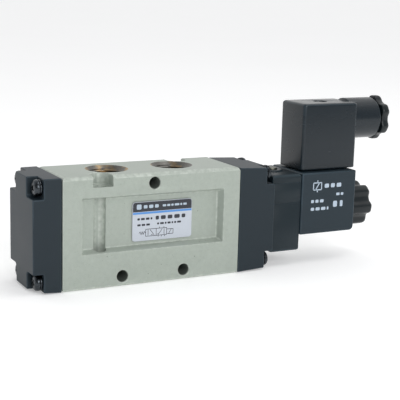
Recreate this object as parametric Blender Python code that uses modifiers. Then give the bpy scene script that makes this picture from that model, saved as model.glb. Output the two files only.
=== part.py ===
"""Solenoid directional valve, 5/2, single coil, air piloted, spring return.

The valve lies along X: end cap at -X, coil and plug at +X.  The front side
faces -Y, the working ports A and B are on top, the supply port and the two
exhausts are underneath.  The origin is on the floor, under the middle of the
whole assembly.  Lengths below are in millimetres and are scaled to metres.
"""
import math

import bmesh
import bpy
from mathutils import Matrix, Vector

# ---------------------------------------------------------------- dimensions
MM = 0.001
GAP = 0.3                      # face to face clearance between neighbours

BODY_L, BODY_W, BODY_H = 86.0, 32.0, 50.0
CAP_L = 13.1                   # left end cap length
NUT_END = 174.3                # far end of the gland nut, from the body's left end
MID = (NUT_END - CAP_L) / 2.0  # middle of the whole length

SPOOL_Z = 25.0                 # height of the spool, pilot and coil axis
BORE_R = 7.0
PORT_AB_X = (26.5, 58.5)       # working ports, on top
CHAMBER_A_X = 27.5             # spool chamber of port A, a little off its thread
PORT_P_X = 43.0                # supply, underneath
PORT_EX_X = (17.0, 69.0)       # exhausts, underneath
PORT_MOUTH_R, PORT_THREAD_R = 9.6, 7.9
EX_MOUTH_R, EX_THREAD_R = 7.2, 6.2
SIDE_HOLES = ((43.0, 45.3), (28.0, 4.4), (58.0, 4.4))   # through holes along Y
SIDE_HOLE_R = 2.65
DOWN_HOLES = ((18.5, -12.0), (66.6, 12.0))              # through holes along Z
DOWN_HOLE_R = 2.9

RECESS_X = (8.8, 77.9)
RECESS_Z = (15.6, 40.5)
RECESS_DEPTH, RECESS_DRAFT = 4.2, 1.35

SCREW_Y, SCREW_Z = 11.2, (4.3, 45.7)
POCKET_Y, POCKET_D = 7.3, 4.9
SCREW_R, SCREW_HEAD_R = 1.9, 3.6

ADAPTER_X = (86.3, 105.0)
PILOT_X, PILOT_W, PILOT_Z = (105.3, 121.2), 26.8, (7.0, 44.4)
OVERRIDE_X = 112.5
COIL_X, COIL_W, COIL_Z = (121.5, 152.6), 27.6, (14.4, 44.4)
PLUG_X, PLUG_W, PLUG_Z = (123.1, 154.1), 20.6, (45.1, 77.0)
PLUG_CX = 138.6
GLAND_Z, GLAND_R = 68.2, 10.05
SPOOL_STROKE, PLUNGER_STROKE, OVERRIDE_STROKE = 4.0, 0.8, 1.5

# ------------------------------------------------------------------- scene
for old in list(bpy.data.objects):
    bpy.data.objects.remove(old, do_unlink=True)

PARTS = bpy.data.collections.new("solenoid_directional_valve")
CUTTERS = bpy.data.collections.new("cutters")
bpy.context.scene.collection.children.link(PARTS)
bpy.context.scene.collection.children.link(CUTTERS)


def material(name, color, rough, metal=0.0):
    m = bpy.data.materials.new(name)
    m.use_nodes = True
    b = m.node_tree.nodes["Principled BSDF"]
    b.inputs["Base Color"].default_value = (*color, 1.0)
    b.inputs["Roughness"].default_value = rough
    b.inputs["Metallic"].default_value = metal
    m.diffuse_color = (*color, 1.0)
    return m


CAST = material("cast_aluminium", (0.42, 0.46, 0.41), 0.5, 0.6)
BLACK = material("black_resin", (0.028, 0.032, 0.036), 0.42)
COILBLACK = material("coil_resin", (0.03, 0.036, 0.042), 0.38)
STEEL = material("zinc_steel", (0.5, 0.51, 0.52), 0.32, 1.0)
BLACKSTEEL = material("blackened_steel", (0.1, 0.105, 0.11), 0.3, 1.0)
STAINLESS = material("stainless", (0.62, 0.62, 0.6), 0.28, 1.0)
ALU = material("machined_aluminium", (0.66, 0.67, 0.68), 0.3, 1.0)
RUBBER = material("nitrile_rubber", (0.018, 0.018, 0.018), 0.7)
COPPER = material("enamelled_copper", (0.55, 0.22, 0.09), 0.35, 1.0)
BRASS = material("tinned_brass", (0.62, 0.5, 0.27), 0.35, 1.0)
NYLON = material("natural_nylon", (0.55, 0.53, 0.46), 0.5)
LABEL = material("label_film", (0.52, 0.56, 0.62), 0.4)


def P(x, y, z):
    """Valve coordinates in mm (x from the body's left end) to metres."""
    return Vector(((x - MID) * MM, y * MM, z * MM))


def finish_object(name, mesh, mat, cutter, location, rotation=None):
    ob = bpy.data.objects.new(name, mesh)
    ob.location = location
    if rotation:
        ob.rotation_euler = rotation
    if cutter:
        ob.display_type = "WIRE"
        ob.hide_render = True
        CUTTERS.objects.link(ob)
    else:
        mesh.materials.append(mat)
        PARTS.objects.link(ob)
    return ob


def box(name, x, y, z, mat=None, cutter=False, edges=None, far=None):
    """A block between two corners.

    edges: list of (test, width, segments); the edges whose two ends both pass
    the test (in mm, valve coordinates) are rounded.  far: function that moves
    the corners, for draft.
    """
    bm = bmesh.new()
    bmesh.ops.create_cube(bm, size=1.0)
    c = Vector(((x[0] + x[1]) / 2, (y[0] + y[1]) / 2, (z[0] + z[1]) / 2))
    s = Vector((x[1] - x[0], y[1] - y[0], z[1] - z[0]))
    for v in bm.verts:
        q = Vector((c.x + v.co.x * s.x, c.y + v.co.y * s.y, c.z + v.co.z * s.z))
        v.co = Vector(far(q)) if far else q
    for test, width, seg in edges or []:
        picked = [e for e in bm.edges if all(test(v.co) for v in e.verts)]
        if picked:
            bmesh.ops.bevel(bm, geom=picked, offset=width, segments=seg,
                            profile=0.5, affect="EDGES", clamp_overlap=True)
    for v in bm.verts:
        v.co = (v.co - c) * MM
    bmesh.ops.recalc_face_normals(bm, faces=bm.faces)
    mesh = bpy.data.meshes.new(name)
    bm.to_mesh(mesh)
    bm.free()
    return finish_object(name, mesh, mat, cutter, P(*c))


TURN = {"X": (0.0, math.pi / 2, 0.0), "Y": (-math.pi / 2, 0.0, 0.0), "Z": None}


def turned(name, profile, at, axis="X", mat=None, cutter=False, seg=24):
    """Revolve (t, r) points about an axis through `at`; t is along the axis."""
    solid = profile[0][1] == 0 and profile[-1][1] == 0
    loop = profile + [profile[0]]
    area = sum(a[1] * b[0] - b[1] * a[0] for a, b in zip(loop, loop[1:]))
    pts = profile if area < 0 else profile[::-1]
    mesh = bpy.data.meshes.new(name)
    bm = bmesh.new()
    vs = [bm.verts.new((r * MM, 0.0, t * MM)) for t, r in pts]
    for a, b in zip(vs, vs[1:]):
        bm.edges.new((a, b))
    if not solid:
        bm.edges.new((vs[-1], vs[0]))
    bm.to_mesh(mesh)
    bm.free()
    ob = finish_object(name, mesh, mat, cutter, P(*at), TURN[axis])
    sc = ob.modifiers.new("turn", "SCREW")
    sc.axis = "Z"
    sc.angle = 2 * math.pi
    sc.steps = sc.render_steps = seg
    sc.use_merge_vertices = True
    sc.merge_threshold = 0.00001
    sc.use_smooth_shade = True
    sc.use_normal_calculate = False
    return ob


def rod(name, a, b, r, at, axis="X", seg=20, mat=None, cutter=True):
    """A plain cylinder from a to b along the axis through `at`."""
    mesh = bpy.data.meshes.new(name)
    bm = bmesh.new()
    bmesh.ops.create_cone(bm, cap_ends=True, segments=seg, radius1=r * MM,
                          radius2=r * MM, depth=(b - a) * MM)
    bmesh.ops.translate(bm, verts=bm.verts, vec=(0, 0, (a + b) / 2 * MM))
    bm.to_mesh(mesh)
    bm.free()
    return finish_object(name, mesh, mat, cutter, P(*at), TURN[axis])


def ring(name, r_mid, r_tube, t, at, axis="X", mat=RUBBER, seg=16, sides=5):
    """An O-ring: a small round section turned about the axis."""
    pts = [(t + r_tube * math.sin(2 * math.pi * i / sides + 0.5),
            r_mid + r_tube * math.cos(2 * math.pi * i / sides + 0.5))
           for i in range(sides)]
    return turned(name, pts, at, axis, mat, False, seg)


def cut(target, *tools, op="DIFFERENCE"):
    for tool in tools:
        m = target.modifiers.new("cut_" + tool.name, "BOOLEAN")
        m.operation = op
        m.solver = "EXACT"
        m.object = tool


def spring(name, a, b, r_mid, wire, turns, at, axis, mat=STAINLESS, per=9):
    """A coil spring with closed ends, as a poly curve along the axis."""
    n = int(turns * per)
    cu = bpy.data.curves.new(name, "CURVE")
    cu.dimensions = "3D"
    sp = cu.splines.new("POLY")
    sp.points.add(n)
    for i in range(n + 1):
        u = i / n
        w = 2 * math.pi * turns * u
        lo, hi = 1.0 / turns, 1.0 - 1.0 / turns
        f = 0.0 if hi <= lo else min(1.0, max(0.0, (u - lo) / (hi - lo)))
        pitch_end = wire * 1.08
        if u < lo:
            s = pitch_end * u / lo
        elif u > hi:
            s = (b - a - wire) - pitch_end * (1 - u) / (1 - hi)
        else:
            s = pitch_end + f * (b - a - wire - 2 * pitch_end)
        sp.points[i].co = (r_mid * math.cos(w) * MM, r_mid * math.sin(w) * MM,
                           (a + wire / 2 + s) * MM, 1.0)
    cu.bevel_depth = wire / 2 * MM
    cu.bevel_resolution = 1
    cu.use_fill_caps = True
    ob = bpy.data.objects.new(name, cu)
    ob.location = P(*at)
    if TURN[axis]:
        ob.rotation_euler = TURN[axis]
    cu.materials.append(mat)
    PARTS.objects.link(ob)
    return ob


def lobed(name, x0, x1, r_out, r_in, lobes, at, mat, chamfer, steps=4, turn=0.0):
    """A knob with rounded lobes, lofted along X from one star-like outline."""
    bm = bmesh.new()
    n = lobes * steps * 2
    stations = [(x0, 1.0 - chamfer / r_out * 0.6), (x0 + chamfer * 0.6, 1.0),
                (x1 - chamfer, 1.0), (x1, 1.0 - chamfer / r_out)]
    rows = []
    for t, k in stations:
        row = []
        for i in range(n):
            w = 2 * math.pi * i / n
            c = 0.5 + 0.5 * math.cos(lobes * w)
            c = min(1.0, c * 1.15)
            r = (r_in + (r_out - r_in) * c * c * (3 - 2 * c)) * k
            a = w + math.radians(turn)
            row.append(bm.verts.new((r * math.cos(a) * MM, r * math.sin(a) * MM,
                                     t * MM)))
        rows.append(row)
    for a, b in zip(rows, rows[1:]):
        for i in range(n):
            j = (i + 1) % n
            bm.faces.new((a[i], a[j], b[j], b[i]))
    bm.faces.new(rows[0][::-1])
    bm.faces.new(rows[-1])
    bmesh.ops.recalc_face_normals(bm, faces=bm.faces)
    mesh = bpy.data.meshes.new(name)
    bm.to_mesh(mesh)
    bm.free()
    return finish_object(name, mesh, mat, False, P(*at), TURN["X"])


# -------------------------------------------------------------- valve body
HW = BODY_W / 2
body = box("valve_body", (0, BODY_L), (-HW, HW), (0, BODY_H), CAST, edges=[
    (lambda v: v.z > BODY_H - 0.01 and abs(v.y) > HW - 0.01, 2.0, 3),
    (lambda v: v.z < 0.01 and abs(v.y) > HW - 0.01, 1.0, 2)])


def recess(name, side):
    x0, x1 = RECESS_X if side < 0 else (BODY_L - RECESS_X[1], BODY_L - RECESS_X[0])
    floor = HW - RECESS_DEPTH
    out = HW + 1.0
    k = RECESS_DRAFT / RECESS_DEPTH

    def far(q):
        if abs(q.y) < HW - 0.1:
            return q
        grow = k * (abs(q.y) - HW)
        cx, cz = (x0 + x1) / 2, sum(RECESS_Z) / 2
        return (q.x + math.copysign(RECESS_DRAFT + grow, q.x - cx), q.y,
                q.z + math.copysign(RECESS_DRAFT + grow, q.z - cz))
    d = RECESS_DRAFT
    ys = (-out, -floor) if side < 0 else (floor, out)
    return box(name, (x0 + d, x1 - d), ys, (RECESS_Z[0] + d, RECESS_Z[1] - d),
               cutter=True, far=far)


cut(body, recess("cut_recess_front", -1), recess("cut_recess_back", 1))

# Spool bore, with an annular chamber opposite each port.
centres = (PORT_EX_X[0], CHAMBER_A_X, PORT_P_X, PORT_AB_X[1], PORT_EX_X[1])
bore_profile = [(-1.0, 0), (-1.0, BORE_R)]
for c in centres:
    half = 3.4
    bore_profile += [(c - half, BORE_R), (c - half, BORE_R + 1.1),
                     (c + half, BORE_R + 1.1), (c + half, BORE_R)]
bore_profile += [(BODY_L + 1.0, BORE_R), (BODY_L + 1.0, 0)]
cut(body, turned("cut_spool_bore", bore_profile, (0, 0, SPOOL_Z), "X",
                 cutter=True, seg=20))


def port(name, x, top, mouth, thread, depth, passage):
    """Chamfered mouth, threaded length and passage down to the spool bore."""
    reach = BODY_H / 2 - BORE_R - 0.8
    pr = [(-1.0, 0), (-1.0, mouth + 1.0), (mouth - thread, thread), (depth, thread)]
    if passage:
        pr += [(depth, passage), (reach, passage), (reach, 0)]
    else:
        pr += [(depth, 0)]
    if top:
        return turned(name, [(-t, r) for t, r in pr], (x, 0, BODY_H), "Z",
                      cutter=True, seg=24)
    return turned(name, pr, (x, 0, 0), "Z", cutter=True, seg=24)


cut(body,
    port("cut_port_a", PORT_AB_X[0], True, PORT_MOUTH_R, PORT_THREAD_R, 12, None),
    rod("cut_passage_a", BODY_H - 17.2, BODY_H - 11.5, 4.6, (CHAMBER_A_X, 0, 0), "Z",
        24),
    port("cut_port_b", PORT_AB_X[1], True, PORT_MOUTH_R, PORT_THREAD_R, 12, 4.6),
    port("cut_port_p", PORT_P_X, False, PORT_MOUTH_R, PORT_THREAD_R, 12, 4.6),
    port("cut_port_ea", PORT_EX_X[0], False, EX_MOUTH_R, EX_THREAD_R, 9, 4.0),
    port("cut_port_eb", PORT_EX_X[1], False, EX_MOUTH_R, EX_THREAD_R, 9, 4.0))

for i, (x, z) in enumerate(SIDE_HOLES):
    r = SIDE_HOLE_R
    cut(body, turned(f"cut_side_hole_{i}", [
        (-HW - 1, 0), (-HW - 1, r + 1.35), (-HW + 0.35, r), (HW - 0.35, r),
        (HW + 1, r + 1.35), (HW + 1, 0)], (x, 0, z), "Y", cutter=True, seg=18))

for i, (x, y) in enumerate(DOWN_HOLES):
    s = -1 if y < 0 else 1
    cut(body, rod(f"cut_down_hole_{i}", -1, BODY_H + 1, DOWN_HOLE_R, (x, y, 0),
                  "Z", 18),
        rod(f"cut_head_seat_{i}", BODY_H - 5.1, BODY_H + 1, 4.6, (x, y, 0), "Z",
            20),
        box(f"cut_head_slot_{i}", (x - 4.59, x + 4.59),
            (min(y, s * 18), max(y, s * 18)), (BODY_H - 5.1, BODY_H + 1),
            cutter=True))

for i, (sy, z) in enumerate([(-1, 0), (1, 0), (-1, 1), (1, 1)]):
    at = (0, sy * SCREW_Y, SCREW_Z[z])
    cut(body, rod(f"cut_tap_left_{i}", -1, 10.5, 2.2, at, "X", 10),
        rod(f"cut_tap_right_{i}", BODY_L - 10.5, BODY_L + 1, 2.2, at, "X", 10))
cut(body, rod("cut_pilot_gallery", 47.5, BODY_L + 1, 1.1, (0, 5.6, 11), "X", 8))


# ------------------------------------------------- left end cap and spring
def cap_draft(q):
    k = max(0.0, -q.x) / CAP_L
    return (q.x, q.y * (1 - 0.4 * k / HW), q.z + (0.7 * k if q.z < 25 else 0))


end_cap = box("end_cap", (-CAP_L, -GAP), (-HW, HW), (0, BODY_H), BLACK,
              far=cap_draft, edges=[(lambda v: v.x < -CAP_L + 0.01, 0.6, 2)])


def corner_pockets(target, tag, x0, x1, top, bottom, wall):
    for i, (sy, up) in enumerate([(-1, 0), (1, 0), (-1, 1), (1, 1)]):
        y = (wall, 20.0) if sy > 0 else (-20.0, -wall)
        z = (top, 60.0) if up else (-10.0, bottom)
        cut(target, box(
            f"cut_{tag}_pocket_{i}", (x0, x1), y, z, cutter=True,
            edges=[(lambda v, s=sy, u=up: abs(v.y - s * wall) < 0.01 and
                    abs(v.z - (top if u else bottom)) < 0.01, 1.6, 2)]))


corner_pockets(end_cap, "cap", -CAP_L - 2, -CAP_L + POCKET_D, 41.3, 8.7, POCKET_Y)
cut(end_cap, rod("cut_spring_chamber", -10.6, 1, 4.6, (0, 0, SPOOL_Z), "X", 20),
    box("cut_cap_gasket_seat", (-1.3, 1), (-12.9, 12.9), (9.1, 40.9), cutter=True))
for i, (sy, z) in enumerate([(-1, 0), (1, 0), (-1, 1), (1, 1)]):
    cut(end_cap, rod(f"cut_cap_clear_{i}", -20, 5, 2.3,
                     (0, sy * SCREW_Y, SCREW_Z[z]), "X", 12))

cap_gasket = box("end_cap_gasket", (-1.0, -GAP), (-12.5, 12.5), (9.5, 40.5), RUBBER)
cut(cap_gasket, rod("cut_cap_gasket_bore", -3, 3, 7.3, (0, 0, SPOOL_Z), "X", 20))


def cap_screw(name, head, tip, y, z, direction):
    """Pan head screw; `head` is the outer end of the head, pointing out."""
    s = direction
    L = abs(head - tip)
    r, hr = SCREW_R, SCREW_HEAD_R
    pr = [(0, 0), (0, hr * 0.62), (-0.35, hr * 0.86), (-0.95, hr), (-2.1, hr),
          (-2.1, r), (-L + 0.8, r), (-L, r * 0.55), (-L, 0)]
    pr = [(s * t, q) for t, q in pr]
    return turned(name, pr, (head, y, z), "X", BLACKSTEEL, seg=14)


def washer(name, x0, x1, r0, r1, y, z, mat=BLACKSTEEL, seg=14):
    return turned(name, [(x0, r0), (x0, r1), (x1, r1), (x1, r0)], (0, y, z), "X",
                  mat, seg=seg)


corners = [("front_low", -1, 0), ("back_low", 1, 0), ("front_top", -1, 1),
           ("back_top", 1, 1)]
for tag, sy, k in corners:
    y, z = sy * SCREW_Y, SCREW_Z[k]
    cap_screw(f"end_cap_screw_{tag}", -11.6, 9.5, y, z, -1)
    washer(f"end_cap_washer_{tag}", -9.2, -8.5, 2.25, 3.5, y, z)
    cap_screw(f"adapter_screw_{tag}", 104.0, 76.8, y, z, 1)
    washer(f"adapter_washer_{tag}", 100.9, 101.6, 2.25, 3.5, y, z)

spring("return_spring", -10.3, 9.3, 2.9, 1.0, 6, (0, 0, SPOOL_Z), "X")

# ------------------------------------------------------ spool and its seals
SEALS = (8.0, 26.2, 33.2, 57.2, 63.75, 78.0)
STEM, LAND = 4.4, 6.6
spool_profile = [(9.6, 0), (9.6, 3.6), (4.0, 3.6), (4.0, LAND - 0.5)]
spool_profile += [(4.5, LAND)]
edges_x = []
for s in SEALS:
    edges_x.append((s - 2.3, s + 2.3))
for i, (a, b) in enumerate(edges_x):
    if i:
        spool_profile += [(a, STEM), (a, LAND)]
    s = SEALS[i]
    spool_profile += [(s - 0.95, LAND), (s - 0.95, 5.3), (s + 0.95, 5.3),
                      (s + 0.95, LAND)]
    if i < len(edges_x) - 1:
        spool_profile += [(b, LAND), (b, STEM)]
spool_profile += [(81.5, LAND), (82.0, LAND - 0.5), (82.0, 0)]
turned("spool", spool_profile, (0, 0, SPOOL_Z), "X", ALU, seg=16)
for i, s in enumerate(SEALS):
    ring(f"spool_seal_{i + 1}", 6.2, 0.6, s, (0, 0, SPOOL_Z))

# ---------------------------------------------------- adapter, pilot piston
AX0, AX1 = ADAPTER_X


def adapter_draft(q):
    k = (q.x - AX0) / (AX1 - AX0)
    return (q.x, q.y, q.z + (0.1 + 1.0 * k if q.z < 25 else -0.6 - 0.8 * k))


adapter = box("pilot_adapter", ADAPTER_X, (-HW, HW), (0, BODY_H), BLACK,
              far=adapter_draft, edges=[
    (lambda v: v.x > AX1 - 0.01 and v.z > 40, 2.4, 3),
    (lambda v: v.x > AX1 - 0.01 and v.z < 10, 1.2, 2)])
corner_pockets(adapter, "adapter", AX1 - 4.4, AX1 + 2, 41.0, 8.8, POCKET_Y)
cut(adapter, rod("cut_piston_chamber", 80, 99.5, 10.0, (0, 0, SPOOL_Z), "X", 24),
    box("cut_adapter_gasket_seat", (80, AX0 + 1.0), (-13.4, 13.4), (9.1, 40.9),
        cutter=True),
    rod("cut_pilot_passage", 95, 110, 1.2, (0, 0, SPOOL_Z), "X", 8),
    rod("cut_adapter_gallery", 80, 110, 1.1, (0, 5.6, 11), "X", 8))
for i, (tag, sy, k) in enumerate(corners):
    cut(adapter, rod(f"cut_adapter_clear_{i}", 80, 110, 2.3,
                     (0, sy * SCREW_Y, SCREW_Z[k]), "X", 12))
for i, sy in enumerate((-1, 1)):
    cut(adapter, rod(f"cut_pilot_tap_{i}", 99.2, 110, 1.7,
                     (0, sy * 10.2, 12.5), "X", 10))

adapter_gasket = box("adapter_gasket", (AX0, AX0 + 0.7), (-13.0, 13.0),
                     (9.5, 40.5), RUBBER)
cut(adapter_gasket,
    rod("cut_adapter_gasket_bore", 80, 90, 10.3, (0, 0, SPOOL_Z), "X", 20),
    rod("cut_adapter_gasket_gallery", 80, 90, 1.2, (0, 5.6, 10.9), "X", 8))

PISTON = [(98.3, 0), (98.3, 8.8), (97.8, 9.5), (96.4, 9.5), (96.4, 7.9),
          (94.4, 7.9), (94.4, 9.5), (93.0, 9.5), (93.0, 4.2), (82.4, 4.2),
          (82.4, 0)]
turned("pilot_piston", PISTON, (0, 0, SPOOL_Z), "X", NYLON, seg=20)
ring("piston_seal", 8.85, 0.75, 95.4, (0, 0, SPOOL_Z), seg=20)

# -------------------------------------------------------------- pilot block
PW = PILOT_W / 2
pilot = box("pilot_block", PILOT_X, (-PW, PW), PILOT_Z, BLACK, edges=[
    (lambda v: v.z > PILOT_Z[1] - 0.01 and abs(v.y) > PW - 0.01, 1.6, 3),
    (lambda v: v.z < PILOT_Z[0] + 0.01 and abs(v.y) > PW - 0.01, 1.0, 2)])
boss = rod("cut_override_boss", 40, PILOT_Z[1] + 0.6, 5.4, (OVERRIDE_X, 0, 0), "Z",
           24)
cut(pilot, boss, op="UNION")
cut(pilot,
    rod("cut_tube_seat", 116.0, 125, 8.0, (0, 0, SPOOL_Z), "X", 24),
    rod("cut_plunger_bore", 110.5, 118, 4.6, (0, 0, SPOOL_Z), "X", 20),
    rod("cut_nozzle", 100, 112, 0.9, (0, 0, SPOOL_Z), "X", 8),
    box("cut_pilot_gasket_seat", (100, PILOT_X[0] + 1.0), (-8.4, 8.4), (9.0, 38.0),
        cutter=True),
    rod("cut_pilot_gallery_in", 100, 113, 1.1, (0, 5.6, 11), "X", 8),
    rod("cut_override_bore", 31.0, 50, 2.9, (OVERRIDE_X, 0, 0), "Z", 16),
    rod("cut_override_pass", 28.0, 33, 1.3, (OVERRIDE_X, 0, 0), "Z", 8),
    box("cut_front_seam", (PILOT_X[0] - 1, PILOT_X[1] + 1), (-PW - 1, -PW + 0.25),
        (30.25, 30.6), cutter=True),
    box("cut_front_step", (PILOT_X[0] - 1, PILOT_X[1] + 1), (-PW - 1, -PW + 0.2),
        (40.1, 40.4), cutter=True))
for i, sy in enumerate((-1, 1)):
    at = (0, sy * 10.2, 12.5)
    cut(pilot, rod(f"cut_pilot_clear_{i}", 100, 125, 1.6, at, "X", 10),
        rod(f"cut_pilot_head_{i}", 118.0, 125, 2.8, at, "X", 14))
    turned(f"pilot_screw_{'front' if sy < 0 else 'back'}",
           [(120.8, 0), (120.8, 2.1), (120.4, 2.45), (118.3, 2.45), (118.3, 1.4),
            (100.2, 1.4), (99.8, 0.9), (99.8, 0)], at, "X", STEEL, seg=12)

pilot_gasket = box("pilot_gasket", (PILOT_X[0], PILOT_X[0] + 0.7), (-8.0, 8.0),
                   (9.4, 37.6), RUBBER)
cut(pilot_gasket,
    rod("cut_pilot_gasket_1", 100, 110, 2.4, (0, 0, SPOOL_Z), "X", 12),
    rod("cut_pilot_gasket_2", 100, 110, 1.4, (0, 5.6, 11.1), "X", 8))

override = turned("manual_override_button", [
    (45.8, 0), (45.8, 2.3), (45.5, 2.6), (36.6, 2.6), (36.6, 0.8), (30.9, 0.8),
    (30.9, 0)], (OVERRIDE_X, 0, 0), "Z", BRASS, seg=16)
cut(override, box("cut_override_slot", (OVERRIDE_X - 4, OVERRIDE_X + 4),
                  (-0.4, 0.4), (45.0, 47.0), cutter=True))
spring("override_spring", 31.3, 36.3, 1.95, 0.5, 4, (OVERRIDE_X, 0, 0), "Z", per=8)

# ------------------------------------------------- armature and fixed core
ring("tube_o_ring", 6.6, 0.42, 116.78, (0, 0, SPOOL_Z))
turned("armature_tube", [(117.5, 4.4), (117.5, 7.6), (119.5, 7.6), (119.5, 5.2),
                         (151.0, 5.2), (151.0, 4.4)], (0, 0, SPOOL_Z), "X",
       STAINLESS, seg=20)
turned("fixed_core", [(165.3, 0), (165.3, 3.5), (164.7, 3.9), (153.0, 3.9),
                      (153.0, 5.0), (151.3, 5.0), (151.3, 4.1), (134.9, 4.1),
                      (134.9, 0)], (0, 0, SPOOL_Z), "X", STAINLESS, seg=18)
turned("plunger", [(133.6, 2.3), (133.6, 3.7), (133.3, 4.0), (111.2, 4.0),
                   (111.2, 2.7), (112.4, 2.7), (112.4, 0), (124.6, 0),
                   (124.6, 2.3)][::-1], (0, 0, SPOOL_Z), "X", STAINLESS, seg=18)
turned("plunger_seal", [(112.1, 0), (112.1, 2.4), (110.8, 2.4), (110.8, 0)],
       (0, 0, SPOOL_Z), "X", RUBBER, seg=14)
spring("plunger_spring", 124.9, 134.6, 1.65, 0.55, 5, (0, 0, SPOOL_Z), "X", per=8)

# --------------------------------------------------------------------- coil
CW = COIL_W / 2
coil = box("coil_housing", COIL_X, (-CW, CW), COIL_Z, COILBLACK, edges=[
    (lambda v: v.x > COIL_X[1] - 0.01 and v.z < COIL_Z[0] + 0.01, 2.2, 3),
    (lambda v: v.x > COIL_X[1] - 0.01 and abs(v.y) > CW - 0.01, 0.7, 2),
    (lambda v: v.z > COIL_Z[1] - 0.01 and abs(v.y) > CW - 0.01, 0.7, 2)])
cut(coil, rod("cut_coil_pocket", 123.2, 160, 9.2, (0, 0, SPOOL_Z), "X", 28),
    rod("cut_coil_bore", 115, 125, 5.6, (0, 0, SPOOL_Z), "X", 20),
    rod("cut_coil_insert", 36.4, 50, 1.75, (PLUG_CX, 0, 0), "Z", 10))
turned("coil_bobbin", [(123.5, 5.55), (123.5, 8.9), (124.7, 8.9), (124.7, 6.3),
                       (149.0, 6.3), (149.0, 8.9), (150.2, 8.9), (150.2, 5.55)],
       (0, 0, SPOOL_Z), "X", NYLON, seg=20)
turned("coil_winding", [(125.0, 6.6), (125.0, 8.6), (148.7, 8.6), (148.7, 6.6)],
       (0, 0, SPOOL_Z), "X", COPPER, seg=20)
turned("coil_end_plate", [(150.5, 5.55), (150.5, 8.9), (152.4, 8.9), (152.4, 5.55)],
       (0, 0, SPOOL_Z), "X", STEEL, seg=20)
coil_nut = lobed("coil_nut", 153.4, 166.5, 11.0, 8.9, 6, (0, 0, SPOOL_Z), BLACK,
                 1.8, 4, 38.0)
cut(coil_nut, rod("cut_coil_nut_bore", 150, 165.7, 4.25, (0, 0, SPOOL_Z), "X", 18))

# ----------------------------------------------------- pins, plug and gland
PINS = {"terminal_pin_front": ((PLUG_CX - 2.4, PLUG_CX + 2.4), (-5.9, -5.1)),
        "terminal_pin_back": ((PLUG_CX - 2.4, PLUG_CX + 2.4), (5.1, 5.9)),
        "ground_pin": ((129.6, 130.4), (-3.15, 3.15))}
pin_cutters = []
for name, (x, y) in PINS.items():
    box(name, x, y, (41.6, 56.8), BRASS)
    pin_cutters.append(box("cut_slot_" + name, (x[0] - 0.3, x[1] + 0.3),
                           (y[0] - 0.3, y[1] + 0.3), (41.3, 60), cutter=True))
cut(coil, *pin_cutters)

insert = box("plug_insert", (125.7, 151.5), (-7.8, 7.8), (46.6, 58.0), BLACK)
cut(insert, *pin_cutters)
cut(insert, rod("cut_insert_screw", 40, 70, 1.8, (PLUG_CX, 0, 0), "Z", 10))
gasket = box("plug_gasket", (125.6, 151.6), (-7.9, 7.9), (44.7, 46.3), RUBBER)
cut(gasket, *pin_cutters)
cut(gasket, rod("cut_gasket_screw", 40, 70, 1.8, (PLUG_CX, 0, 0), "Z", 10))

LW = PLUG_W / 2


def plug_edge(v):
    out = (abs(v.y) > LW - 0.01) + (v.x < PLUG_X[0] + 0.01 or v.x > PLUG_X[1] - 0.01)
    return out


plug = box("plug_housing", PLUG_X, (-LW, LW), PLUG_Z, BLACK, edges=[
    (lambda v: plug_edge(v) == 2, 1.6, 3)])
plug_top = plug.modifiers.new("top_round", "BEVEL")
plug_top.limit_method = "ANGLE"
plug_top.angle_limit = math.radians(60)
plug_top.width = 1.2 * MM
plug_top.segments = 2
barrel = turned("cut_gland_barrel", [(150.0, 0), (150.0, 7.0), (152.6, GLAND_R),
                                     (168.2, GLAND_R), (168.6, GLAND_R - 0.4),
                                     (168.6, 0)], (0, 0, GLAND_Z), "X",
                cutter=True, seg=28)
cut(plug, barrel, op="UNION")
cut(plug,
    box("cut_plug_cavity", (125.3, 151.9), (-8.2, 8.2), (40, 73.0), cutter=True),
    rod("cut_cable_hole", 148, 160, 4.8, (0, 0, GLAND_Z), "X", 18),
    rod("cut_gland_seat", 157.0, 175, 8.0, (0, 0, GLAND_Z), "X", 22),
    rod("cut_plug_screw_hole", 70, 76, 1.8, (PLUG_CX, 0, 0), "Z", 10),
    rod("cut_plug_screw_seat", 74.2, 80, 3.5, (PLUG_CX, 0, 0), "Z", 18))
turned("plug_screw", [(76.6, 0), (76.6, 2.3), (76.3, 2.7), (74.5, 2.7), (74.5, 1.4),
                      (37.2, 1.4), (36.8, 1.0), (36.8, 0)], (PLUG_CX, 0, 0), "Z",
       BLACKSTEEL, seg=14)
turned("gland_grommet", [(157.4, 4.3), (157.4, 7.6), (163.0, 7.6), (163.0, 4.3)],
       (0, 0, GLAND_Z), "X", RUBBER, seg=18)
turned("gland_washer", [(163.3, 4.8), (163.3, 7.6), (164.2, 7.6), (164.2, 4.8)],
       (0, 0, GLAND_Z), "X", NYLON, seg=18)
gland_nut = lobed("gland_nut", 169.7, NUT_END, 10.9, 9.3, 6, (0, 0, GLAND_Z), BLACK,
                  1.5, 4)
cut(gland_nut, rod("cut_gland_spigot", 164.6, 171.0, 7.5, (0, 0, GLAND_Z), "X", 20),
    op="UNION")
cut(gland_nut, rod("cut_gland_nut_bore", 160, 180, 4.8, (0, 0, GLAND_Z), "X", 18))

# -------------------------------------------------------------------- label
FLOOR = -(HW - RECESS_DEPTH)
box("label_plate", (33.9, 63.3), (FLOOR - 0.6, FLOOR - GAP), (18.6, 36.4), LABEL,
    edges=[(lambda v: True, 0.0, 1)][:0] + [
        (lambda v: v.x < 34.0 and v.z < 18.7, 1.3, 2),
        (lambda v: v.x < 34.0 and v.z > 36.3, 1.3, 2),
        (lambda v: v.x > 63.2 and v.z < 18.7, 1.3, 2),
        (lambda v: v.x > 63.2 and v.z > 36.3, 1.3, 2)])

bpy.context.view_layer.update()
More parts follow.
